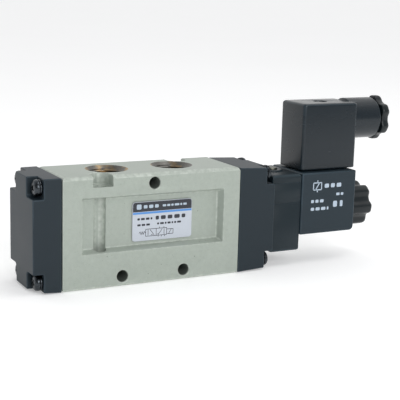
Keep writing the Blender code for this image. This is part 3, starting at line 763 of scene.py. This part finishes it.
def pan_screw(name, head, tip, y, z, s, node, spin):
    L = abs(head - tip)
    hr, r = 3.6, 1.9
    pr = [(0, 0), (0, 1.9), (-0.10, 2.45), (-0.32, 2.95), (-0.72, 3.36), (-1.2, 3.56),
          (-1.55, hr), (-2.1, hr), (-2.1, r)]
    t = -3.4
    while t > -L + 1.2:           # rolled thread
        pr += [(t, r), (t - 0.2, r - 0.28), (t - 0.45, r - 0.28), (t - 0.62, r)]
        t -= 0.7
    pr += [(-L + 0.6, r - 0.2), (-L, r * 0.6), (-L, 0)]
    pr = [(s * a, b) for a, b in pr]
    ob = turned(name, pr, (head, y, z), "X", M["blacksteel"], 48, 0.06, 40)
    boolean(ob, cross_cutter(head, y, z, s, spin))
    return ride(ob, node)


def split_washer(name, x0, x1, r0, r1, y, z, node):
    ob = turned(name, [(x0, r0), (x0, r1), (x1, r1), (x1, r0)], (0, y, z), "X",
                M["blacksteel"], 56, 0.14)
    return ride(ob, node)


corners = [("front_low", -1, 4.3), ("back_low", 1, 4.3), ("front_top", -1, 45.7),
           ("back_top", 1, 45.7)]
for i, (tag, sy, z) in enumerate(corners):
    y = sy * 11.2
    pan_screw(f"cap_screw_{tag}", -11.6, 9.5, y, z, -1, f"end_cap_screw_{tag}",
              0.35 + 0.9 * i)
    split_washer(f"cap_washer_{tag}", -9.2, -8.5, 2.25, 3.5, y, z,
                 f"end_cap_washer_{tag}")
    pan_screw(f"cover_screw_{tag}", 104.0, 76.8, y, z, 1, f"adapter_screw_{tag}",
              0.8 + 0.7 * i)
    split_washer(f"cover_washer_{tag}", 100.9, 101.6, 2.25, 3.5, y, z,
                 f"adapter_washer_{tag}")

# ============================================================== pilot block
pilot = block("pilot_valve_block", (105.3, 121.2), (-13.4, 13.4), (7.0, 44.4), M["pilot"],
              r_edges=[(lambda v: v.z > 44.39 and abs(v.y) > 13.39, 1.6, 6),
                       (lambda v: v.z < 7.01 and abs(v.y) > 13.39, 1.0, 4)])
boss = turned("c_boss", [(40, 0), (40, 5.4), (45.0, 5.4), (45.0, 0)], (112.5, 0, 0), "Z",
              M["pilot"], 56, 0.2)
boolean(pilot, [boss], "UNION")


def groove(z0, z1, depth, side):
    rows = []
    a, b = side * (13.4 + 1.0), side * (13.4 - depth)
    for x in (104.3, 122.2):
        rows.append([(x, a, z0 - 0.25), (x, side * 13.4, z0 - 0.06), (x, b, z0 + 0.05),
                     (x, b, z1 - 0.05), (x, side * 13.4, z1 + 0.06), (x, a, z1 + 0.25)])
    return loft("c_groove", rows, M["pilot"])


soften(pilot, 0.28, 2)
tools = [groove(30.25, 30.6, 0.25, -1), groove(40.1, 40.4, 0.2, -1),
         turned("c_1", [(116.0, 0), (116.0, 8.0), (125, 8.0), (125, 0)], (0, 0, SPOOL_Z),
                "X", M["pilot"], 48, 0),
         turned("c_2", [(110.5, 0), (110.5, 4.6), (118, 4.6), (118, 0)], (0, 0, SPOOL_Z),
                "X", M["pilot"], 40, 0),
         turned("c_3", [(100, 0), (100, 0.9), (112, 0.9), (112, 0)], (0, 0, SPOOL_Z), "X",
                M["pilot"], 16, 0),
         block("c_4", (100, 106.3), (-8.4, 8.4), (9.0, 38.0), M["pilot"]),
         turned("c_5", [(100, 0), (100, 1.1), (113, 1.1), (113, 0)], (0, 5.6, 11), "X",
                M["pilot"], 16, 0),
         turned("c_6", [(31.0, 0), (31.0, 2.9), (44.8, 2.9), (45.0, 3.1), (50, 3.1),
                        (50, 0)], (112.5, 0, 0), "Z", M["pilot"], 36, 0),
         turned("c_7", [(28.0, 0), (28.0, 1.3), (33, 1.3), (33, 0)], (112.5, 0, 0), "Z",
                M["pilot"], 16, 0)]
for sy in (-1, 1):
    at = (0, sy * 10.2, 12.5)
    tools += [turned("c_8", [(100, 0), (100, 1.6), (125, 1.6), (125, 0)], at, "X",
                     M["pilot"], 20, 0),
              turned("c_9", [(118.0, 0), (118.0, 2.8), (125, 2.8), (125, 0)], at, "X",
                     M["pilot"], 28, 0)]
boolean(pilot, tools)
mark_edge_wear_and_sheen(pilot)
ride(pilot, "pilot_block")
for sy, tag in ((-1, "front"), (1, "back")):
    ob = turned(f"pilot_block_screw_{tag}", [
        (120.8, 0), (120.8, 1.9), (120.5, 2.25), (120.1, 2.45), (118.3, 2.45),
        (118.3, 1.4), (100.2, 1.4), (99.8, 0.9), (99.8, 0)], (0, sy * 10.2, 12.5), "X",
        M["steel"], 40, 0.1)
    ride(ob, f"pilot_screw_{tag}")

button = turned("override_button", [
    (45.8, 0), (45.8, 2.2), (45.55, 2.5), (45.3, 2.6), (36.6, 2.6), (36.6, 0.8),
    (30.9, 0.8), (30.9, 0)], (112.5, 0, 0), "Z", M["brass"], 48, 0.12)
slot_tool = loft("c_slot", [[(112.5 + a, b * w, z) for a, b in
                             ((-4, -0.4), (4, -0.4), (4, 0.4), (-4, 0.4))]
                            for z, w in ((47.0, 1.6), (45.8, 1.18), (45.65, 1.0),
                                         (45.0, 1.0))], M["brass"])
boolean(button, [slot_tool])
ride(button, "manual_override_button", "override")


# ===================================================================== coil
coil = block("coil_casing", (121.5, 152.6), (-13.8, 13.8), (14.4, 44.4), M["coil"], r_edges=[
    (lambda v: v.x > 152.59 and v.z < 14.41, 2.2, 6)])
soften(coil, 0.7, 4, 50)
tools = [turned("c_1", [(123.2, 0), (123.2, 9.2), (160, 9.2), (160, 0)], (0, 0, SPOOL_Z),
                "X", M["coil"], 64, 0),
         turned("c_2", [(115, 0), (115, 5.6), (125, 5.6), (125, 0)], (0, 0, SPOOL_Z), "X",
                M["coil"], 48, 0),
         turned("c_3", [(36.4, 0), (36.4, 1.75), (50, 1.75), (50, 0)], (138.6, 0, 0), "Z",
                M["coil"], 24, 0)]
PINS = {"terminal_pin_front": ((136.2, 141.0), (-5.9, -5.1)),
        "terminal_pin_back": ((136.2, 141.0), (5.1, 5.9)),
        "ground_pin": ((129.6, 130.4), (-3.15, 3.15))}


def pin_tools(mat):
    return [block("c_pin", (x[0] - 0.3, x[1] + 0.3), (y[0] - 0.3, y[1] + 0.3), (41.3, 60),
                  mat) for x, y in PINS.values()]


boolean(coil, tools + pin_tools(M["coil"]))
mark_edge_wear_and_sheen(coil)
ride(coil, "coil_housing")
for name, (x, y) in PINS.items():
    ob = block(name + "_blade", x, y, (41.6, 56.8), M["pin"])
    soften(ob, 0.14, 2, 40, False)
    ride(ob, name)
AX = (0, 0, SPOOL_Z)
ride(turned("bobbin", [(123.5, 5.55), (123.5, 8.9), (124.7, 8.9), (124.7, 6.3),
                       (149.0, 6.3), (149.0, 8.9), (150.2, 8.9), (150.2, 5.55)], AX, "X",
            M["nylon"], 56, 0.15), "coil_bobbin")
ride(turned("winding", [(125.0, 6.6), (125.0, 8.6), (148.7, 8.6), (148.7, 6.6)], AX, "X",
            M["copper"], 56, 0.2), "coil_winding")
ride(turned("end_plate", [(150.5, 5.55), (150.5, 8.9), (152.4, 8.9), (152.4, 5.55)], AX,
            "X", M["yoke"], 56, 0.2), "coil_end_plate")


def knob(name, stations, r_out, r_in, lobes, at, mat, turn=0.0, steps=18, flat=1.15):
    """Lobed knob lofted along X; stations are (x, inset)."""
    n = lobes * steps
    rows = []
    for t, d in stations:
        row = []
        for i in range(n):
            w = TAU * i / n
            c = 0.5 + 0.5 * math.cos(lobes * w)
            k = min(1.0, c * flat)
            k = k * k * (3 - 2 * k)
            rr = r_in + (r_out - r_in) * k - d
            row.append((t, at[1] + rr * math.cos(w + turn), at[2] + rr * math.sin(w + turn)))
        rows.append(row)
    return loft(name, rows, mat, 50)


nut = knob("coil_knob", [(153.4, 0.9), (153.55, 0.45), (153.9, 0.12), (154.4, 0.0),
                         (164.4, 0.0), (165.1, 0.16), (165.7, 0.55), (166.2, 1.15),
                         (166.45, 1.8), (166.5, 2.4)], 11.0, 8.9, 6, AX, M["knob"],
           math.radians(8.0))
boolean(nut, [turned("c_n", [(150, 0), (150, 4.25), (165.7, 4.25), (165.7, 0)], AX, "X",
                     M["knob"], 40, 0),
              turned("c_dish", [(165.9, 0), (166.0, 5.6), (166.9, 6.4), (168, 6.4),
                                (168, 0)], AX, "X", M["knob"], 56, 0)])
ride(nut, "coil_nut")

# ------------------------------------------------------------ armature parts
ride(torus("tube_seal", 6.6, 0.42, 116.78, AX, "X", M["rubber"], 48, 12), "tube_o_ring")
ride(turned("guide_tube", [(117.5, 4.4), (117.5, 7.6), (119.5, 7.6), (119.5, 5.2),
                           (151.0, 5.2), (151.0, 4.4)], AX, "X", M["stainless"], 56, 0.12),
     "armature_tube")
ride(turned("core", [(165.3, 0), (165.3, 3.5), (164.7, 3.9), (153.0, 3.9), (153.0, 5.0),
                     (151.3, 5.0), (151.3, 4.1), (134.9, 4.1), (134.9, 0)], AX, "X",
            M["stainless"], 48, 0.12), "fixed_core")
ride(turned("armature", [(112.4, 0), (112.4, 2.7), (111.2, 2.7), (111.2, 4.0),
                         (133.3, 4.0), (133.6, 3.7), (133.6, 2.3), (124.6, 2.3),
                         (124.6, 0)], AX, "X", M["stainless"], 48, 0.1), "plunger",
     "plunger")
ride(turned("armature_seal", [(112.1, 0), (112.1, 2.4), (110.8, 2.4), (110.8, 0)], AX, "X",
            M["rubber"], 40, 0.2), "plunger_seal", "plunger")


# -------------------------------------------------------------------- springs
def spring(name, a, b, r_mid, wire, turns, at, axis, per=28, sides=10):
    """Coil spring with closed ends as a swept tube."""
    n = int(turns * per)
    centre = []
    for i in range(n + 1):
        u = i / n
        w = TAU * turns * u
        lo, hi = 1.0 / turns, 1.0 - 1.0 / turns
        f = min(1.0, max(0.0, (u - lo) / (hi - lo)))
        end = wire * 1.08
        if u < lo:
            s = end * u / lo
        elif u > hi:
            s = (b - a - wire) - end * (1 - u) / (1 - hi)
        else:
            s = end + f * (b - a - wire - 2 * end)
        centre.append((w, a + wire / 2 + s))
    rows = []
    for w, t in centre:
        row = []
        for k in range(sides):
            q = TAU * k / sides
            rr = r_mid + wire / 2 * math.cos(q)
            tt = t + wire / 2 * math.sin(q)
            if axis == "X":
                row.append((tt, at[1] + rr * math.cos(w), at[2] + rr * math.sin(w)))
            else:
                row.append((at[0] + rr * math.cos(w), at[1] + rr * math.sin(w), tt))
        rows.append(row)
    return loft(name, rows, M["spring"], 50)


sp = ride(spring("spool_spring", -10.3, 9.3, 2.9, 1.0, 6, AX, "X"), "return_spring")
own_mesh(sp)
sp = ride(spring("armature_spring", 124.9, 134.6, 1.65, 0.55, 5, AX, "X"),
          "plunger_spring")
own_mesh(sp)
sp = ride(spring("button_spring", 31.3, 36.3, 1.95, 0.5, 4, (112.5, 0, 0), "Z"),
          "override_spring")
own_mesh(sp)

# ---------------------------------------------------------- spool and piston
SEALS = (8.0, 26.2, 33.2, 57.2, 63.75, 78.0)
pr = [(9.6, 0), (9.6, 3.6), (4.0, 3.6), (4.0, 6.1), (4.5, 6.6)]
for i, s in enumerate(SEALS):
    if i:
        pr += [(s - 2.3, 4.4), (s - 2.3, 6.6)]
    pr += [(s - 0.95, 6.6), (s - 0.95, 5.3), (s + 0.95, 5.3), (s + 0.95, 6.6)]
    if i < len(SEALS) - 1:
        pr += [(s + 2.3, 6.6), (s + 2.3, 4.4)]
pr += [(81.5, 6.6), (82.0, 6.1), (82.0, 0)]
ride(turned("spool_shaft", pr, AX, "X", M["alu"], 56, 0.14), "spool", "spool")
for i, s in enumerate(SEALS):
    ride(torus(f"spool_ring_{i + 1}", 6.2, 0.6, s, AX, "X", M["rubber"], 56, 12),
         f"spool_seal_{i + 1}", "spool")
ride(turned("piston", [(98.3, 0), (98.3, 8.8), (97.8, 9.5), (96.4, 9.5), (96.4, 7.9),
                       (94.4, 7.9), (94.4, 9.5), (93.0, 9.5), (93.0, 4.2), (82.4, 4.2),
                       (82.4, 0)], AX, "X", M["nylon"], 56, 0.15), "pilot_piston", "spool")
ride(torus("piston_ring", 8.85, 0.75, 95.4, AX, "X", M["rubber"], 56, 12), "piston_seal",
     "spool")


# ------------------------------------------------------------------- gaskets
def gasket(name, x, y, z, holes, node):
    ob = block(name, x, y, z, M["rubber"])
    soften(ob, 0.12, 2, 40, False)
    boolean(ob, holes)
    return ride(ob, node)


def thru(axis_at, r, a, b, axis="X"):
    return turned("c_t", [(a, 0), (a, r), (b, r), (b, 0)], axis_at, axis, M["rubber"], 40, 0)


gasket("cap_gasket", (-1.0, -0.3), (-12.5, 12.5), (9.5, 40.5), [thru(AX, 7.3, -3, 3)],
       "end_cap_gasket")
gasket("cover_gasket", (86.3, 87.0), (-13.0, 13.0), (9.5, 40.5),
       [thru(AX, 10.3, 80, 90), thru((0, 5.6, 10.9), 1.2, 80, 90)], "adapter_gasket")
gasket("pilot_face_gasket", (105.3, 106.0), (-8.0, 8.0), (9.4, 37.6),
       [thru(AX, 2.4, 100, 110), thru((0, 5.6, 11.1), 1.4, 100, 110)], "pilot_gasket")
gasket("plug_face_gasket", (125.6, 151.6), (-7.9, 7.9), (44.7, 46.3),
       pin_tools(M["rubber"]) + [thru((138.6, 0, 0), 1.8, 40, 70, "Z")], "plug_gasket")
ob = block("contact_block", (125.7, 151.5), (-7.8, 7.8), (46.6, 58.0), M["plug"])
soften(ob, 0.3, 2, 40, False)
boolean(ob, pin_tools(M["plug"]) + [turned("c_t", [(40, 0), (40, 1.8), (70, 1.8), (70, 0)],
                                           (138.6, 0, 0), "Z", M["plug"], 28, 0)])
ride(ob, "plug_insert")

# ===================================================================== plug
LW = 10.3
rows = []
for z, inset, r in ((45.1, 0.42, 1.3), (45.2, 0.18, 1.45), (45.42, 0.03, 1.6),
                    (45.8, 0.0, 1.6), (75.6, 0.0, 1.6), (76.05, 0.07, 1.6),
                    (76.45, 0.27, 1.55), (76.74, 0.58, 1.4), (76.93, 0.98, 1.2),
                    (77.0, 1.4, 1.0)):
    rows.append([(a, b, z) for a, b in rrect(123.1 + inset, 154.1 - inset, -LW + inset,
                                             LW - inset, r, 6)])
plug = loft("plug_cover", rows, M["plug"], 40)
barrel = turned("c_barrel", [(150.0, 0), (150.0, 7.0), (152.6, 10.05), (168.1, 10.05),
                             (168.45, 9.9), (168.6, 9.55), (168.6, 0)], (0, 0, 68.2), "X",
                M["plug"], 72, 0.1)
boolean(plug, [barrel], "UNION")
boolean(plug, [
    block("c_c", (125.3, 151.9), (-8.2, 8.2), (40, 73.0), M["plug"]),
    turned("c_h", [(148, 0), (148, 4.8), (160, 4.8), (160, 0)], (0, 0, 68.2), "X", M["plug"],
           48, 0),
    turned("c_g", [(157.0, 0), (157.0, 8.0), (168.2, 8.0), (168.6, 8.3), (175, 8.3),
                   (175, 0)], (0, 0, 68.2), "X", M["plug"], 64, 0),
    turned("c_sh", [(70, 0), (70, 1.8), (76, 1.8), (76, 0)], (138.6, 0, 0), "Z", M["plug"],
           28, 0),
    turned("c_ss", [(74.2, 0), (74.2, 3.5), (76.7, 3.5), (76.9, 3.6), (77.0, 3.78),
                    (80, 5.0), (80, 0)], (138.6, 0, 0), "Z", M["plug"], 56, 0)])
mark_edge_wear_and_sheen(plug)
ride(plug, "plug_housing")

screw = turned("plug_cap_screw", [(76.6, 0), (76.6, 2.1), (76.45, 2.45), (76.1, 2.7),
                                  (74.5, 2.7), (74.5, 1.4), (37.2, 1.4), (36.8, 1.0),
                                  (36.8, 0)], (138.6, 0, 0), "Z", M["blacksteel"], 48, 0.1)
boolean(screw, [loft("c_s", [[(138.6 + a, b, z) for a, b in
                              ((-4, -0.35), (4, -0.35), (4, 0.35), (-4, 0.35))]
                             for z in (78.0, 75.7)], M["blacksteel"])])
ride(screw, "plug_screw")

GX = (0, 0, 68.2)
ride(turned("cable_grommet", [(157.4, 4.3), (157.4, 7.6), (163.0, 7.6), (163.0, 4.3)], GX,
            "X", M["rubber"], 56, 0.4), "gland_grommet")
ride(turned("cable_washer", [(163.3, 4.8), (163.3, 7.6), (164.2, 7.6), (164.2, 4.8)], GX,
            "X", M["nylon"], 56, 0.15), "gland_washer")
gnut = knob("gland_knob", [(169.7, 0.8), (169.8, 0.35), (170.1, 0.1), (170.5, 0.0),
                           (172.6, 0.0), (173.2, 0.18), (173.7, 0.55), (174.1, 1.05),
                           (174.3, 1.7)], 10.9, 9.3, 6, GX, M["knob"], math.radians(30.0))
boolean(gnut, [turned("c_sp", [(164.6, 0), (164.6, 7.5), (171.0, 7.5), (171.0, 0)], GX, "X",
                      M["knob"], 56, 0.1)], "UNION")
boolean(gnut, [turned("c_nb", [(160, 0), (160, 4.8), (173.6, 4.8), (173.95, 4.95),
                               (174.3, 5.4), (180, 9.0), (180, 0)], GX, "X", M["knob"], 56,
                      0)])
ride(gnut, "gland_nut")

# ==================================================================== label
FLOOR = -(HW - 4.2)
LY = FLOOR - 0.6                                # outer surface of the label
rows = []
for y, inset in ((FLOOR - 0.3, 0.0), (LY + 0.04, 0.0), (LY + 0.01, 0.015), (LY, 0.05)):
    rows.append([(a, y, b) for a, b in rrect(33.9 + inset, 63.3 - inset, 18.6 + inset,
                                             36.4 - inset, 1.3, 6)])
label = loft("label_film_plate", rows, M["film"], 50)
ride(label, "label_plate")


class Print:
    """Flat printed marks gathered into one thin piece."""

    def __init__(self, y, thick):
        self.bm = bmesh.new()
        self.y, self.thick = y, thick

    def poly(self, pts):
        """pts: (x, z) outline, either way round."""
        a = [self.bm.verts.new(P(x, self.y + 0.01, z)) for x, z in pts]
        b = [self.bm.verts.new(P(x, self.y - self.thick, z)) for x, z in pts]
        n = len(pts)
        faces = [self.bm.faces.new((a[i], a[(i + 1) % n], b[(i + 1) % n], b[i]))
                 for i in range(n)]
        faces.append(self.bm.faces.new(a[::-1]))
        faces.append(self.bm.faces.new(b))
        bmesh.ops.recalc_face_normals(self.bm, faces=faces)

    def bar(self, x0, x1, z0, z1, r=0.0):
        if r:
            self.poly(rrect(x0, x1, z0, z1, r, 3))
        else:
            self.poly([(x0, z0), (x1, z0), (x1, z1), (x0, z1)])

    def line(self, ax, az, bx, bz, w):
        d = Vector((bx - ax, bz - az))
        if d.length < 1e-6:
            return
        n = Vector((-d.y, d.x)).normalized() * w / 2
        self.poly([(ax + n.x, az + n.y), (bx + n.x, bz + n.y), (bx - n.x, bz - n.y),
                   (ax - n.x, az - n.y)])

    def words(self, x0, x1, z, h, seed, lo=0.8, hi=2.4):
        """A greeked line: rounded bars of uneven length, no letters."""
        rnd = random.Random(seed)
        x = x0
        while x < x1 - 0.5:
            w = min(rnd.uniform(lo, hi), x1 - x)
            self.bar(x, x + w, z - h / 2, z + h / 2, min(h, w) * 0.28)
            x += w + h * 0.55

    def done(self, name, mat):
        me = bpy.data.meshes.new(name)
        self.bm.to_mesh(me)
        self.bm.free()
        me.materials.append(mat)
        ob = bpy.data.objects.new(name, me)
        bpy.context.scene.collection.objects.link(ob)
        return ride(ob, None, "valve")


head = Print(LY, 0.03)
pts = [p for p in rrect(34.1, 63.1, 20.0, 36.2, 1.15, 6) if p[1] > 32.4]
head.poly([(63.1, 31.9)] + pts + [(34.1, 31.9)])
head.done("label_header", M["ink_dark"])
stripe = Print(LY, 0.03)
stripe.bar(34.1, 63.1, 30.8, 31.7)
stripe.done("label_stripe", M["ink_blue"])
pale = Print(LY - 0.03, 0.03)
pale.bar(35.9, 38.2, 33.0, 35.3, 0.5)
pale.words(39.3, 46.6, 34.1, 1.5, 3, 1.6, 2.4)
pale.words(48.6, 61.4, 34.1, 0.95, 9, 0.9, 2.6)
pale.done("label_header_marks", M["ink_pale"])
txt = Print(LY, 0.03)
txt.words(36.3, 43.6, 28.6, 1.0, 21, 1.0, 2.2)
txt.words(45.2, 60.6, 28.7, 1.75, 14, 1.5, 2.8)
txt.words(36.3, 42.6, 25.9, 0.9, 5, 1.0, 2.0)
txt.words(46.0, 58.8, 26.0, 0.9, 8, 0.7, 1.9)
txt.done("label_text_bars", M["ink_dark"])
# generic two position valve symbol: boxes, flow arrows, spring and coil
sym = Print(LY, 0.03)
W = 0.24
bx0, bx1, bx2, bz0, bz1 = 40.4, 45.6, 50.8, 20.6, 23.8
for a, b in ((bx0, bx1), (bx1, bx2)):
    sym.line(a, bz0, b, bz0, W)
    sym.line(a, bz1, b, bz1, W)
for x in (bx0, bx1, bx2):
    sym.line(x, bz0, x, bz1, W)
for x, y0, y1 in ((bx0 + 1.2, 20.9, 23.5), (bx1 + 3.9, 23.5, 20.9)):
    sym.line(x, y0, x, y1, W)
sym.line(bx0 + 2.2, 23.5, bx0 + 4.2, 20.9, W)
sym.line(bx1 + 1.0, 20.9, bx1 + 3.0, 23.5, W)
for x in (bx0 + 3.1, bx1 + 0.9):
    sym.line(x - 0.4, 21.2, x + 0.4, 21.2, W)
zz = [(37.2, 22.2), (37.7, 22.9), (38.2, 21.5), (38.7, 22.9), (39.2, 21.5), (39.7, 22.9),
      (40.3, 22.2)]
for (a, b), (c, d) in zip(zz, zz[1:]):
    sym.line(a, b, c, d, W)
for a, b, c, d in ((50.9, 20.9, 54.0, 20.9), (50.9, 23.1, 54.0, 23.1),
                   (54.0, 20.9, 54.0, 23.1), (51.7, 20.9, 53.2, 23.1)):
    sym.line(a, b, c, d, W)
for x in (bx1 + 1.0, bx1 + 2.6, bx1 + 4.2):
    sym.line(x, bz0, x, bz0 - 0.7, W)
for x in (bx1 + 1.6, bx1 + 3.8):
    sym.line(x, bz1, x, bz1 + 0.7, W)
sym.done("label_symbol", M["ink_dark"])

# pad print on the coil: generic coil symbol and bars
CY = -13.8
pad = Print(CY, 0.025)
for a, b, c, d in ((128.0, 36.0, 132.6, 36.0), (128.0, 39.4, 132.6, 39.4),
                   (128.0, 36.0, 128.0, 39.4), (132.6, 36.0, 132.6, 39.4),
                   (129.2, 36.0, 131.4, 39.4), (130.3, 39.4, 130.3, 40.6),
                   (130.3, 36.0, 130.3, 34.8)):
    pad.line(a, b, c, d, 0.5)
pad.words(134.4, 144.8, 37.7, 2.0, 4, 2.2, 3.4)
pad.words(127.0, 134.6, 30.4, 1.5, 11, 1.2, 2.2)
pad.words(127.0, 137.2, 26.6, 1.5, 17, 1.2, 2.6)
pad.words(141.4, 145.6, 33.2, 1.3, 23, 1.2, 2.0)
pad.words(139.8, 145.4, 28.4, 3.0, 29, 2.2, 2.5)
pad.done("coil_print", M["ink_pale"])

# ============================================================ floor, light
fm = Nodes("floor")
g = fm.noise(3.0, 3.0)
fm.link(fm.mix(fm.range(g, 0.3, 0.7, 0.0, 1.0), (0.90, 0.90, 0.90), (0.92, 0.92, 0.92)),
        fm.b.inputs["Base Color"])
fm.b.inputs["Roughness"].default_value = 0.9
fm.b.inputs["Specular IOR Level"].default_value = 0.1
fm.b.inputs["Emission Color"].default_value = (1, 1, 1, 1)      # lit table
fm.b.inputs["Emission Strength"].default_value = 0.30
bm = bmesh.new()
bmesh.ops.create_circle(bm, cap_ends=True, segments=96, radius=14.0)
me = bpy.data.meshes.new("floor")
bm.to_mesh(me)
bm.free()
me.materials.append(fm.m)
floor = bpy.data.objects.new("floor", me)
floor.location = (0, 0, -0.0002)
bpy.context.scene.collection.objects.link(floor)

world = bpy.data.worlds.new("studio")
bpy.context.scene.world = world
world.use_nodes = True
wt = world.node_tree
bg = wt.nodes["Background"]
tc = wt.nodes.new("ShaderNodeTexCoord")
sep = wt.nodes.new("ShaderNodeSeparateXYZ")
wt.links.new(tc.outputs["Generated"], sep.inputs[0])
# dimmer towards the front and the left, so the faces there keep their depth
mx = wt.nodes.new("ShaderNodeMath")
mx.operation = "MULTIPLY_ADD"
wt.links.new(sep.outputs["X"], mx.inputs[0])
mx.inputs[1].default_value = 0.50
my = wt.nodes.new("ShaderNodeMath")
my.operation = "MULTIPLY_ADD"
wt.links.new(sep.outputs["Y"], my.inputs[0])
my.inputs[1].default_value = 0.95
my.inputs[2].default_value = 0.52
wt.links.new(my.outputs[0], mx.inputs[2])
rmp = wt.nodes.new("ShaderNodeValToRGB")
e = rmp.color_ramp.elements
e[0].position, e[0].color = 0.0, (0.26, 0.268, 0.28, 1)
e[1].position, e[1].color = 1.0, (1.0, 1.0, 1.0, 1)
wt.links.new(mx.outputs[0], rmp.inputs["Fac"])
wt.links.new(rmp.outputs["Color"], bg.inputs["Color"])
bg.inputs["Strength"].default_value = 1.0


def area(name, loc, target, size, power, color=(1, 1, 1)):
    li = bpy.data.lights.new(name, "AREA")
    li.shape = "RECTANGLE"
    li.size, li.size_y = size
    li.energy = power
    li.color = color
    ob = bpy.data.objects.new(name, li)
    ob.location = loc
    ob.rotation_euler = (Vector(target) - Vector(loc)).to_track_quat("-Z", "Y").to_euler()
    bpy.context.scene.collection.objects.link(ob)
    return ob


area("overhead", (0.30, -0.22, 0.95), (0, 0, 0.03), (0.55, 0.40), 1.4)
area("front_fill", (-0.05, -1.15, 0.60), (0, 0, 0.03), (0.8, 0.6), 6.9)
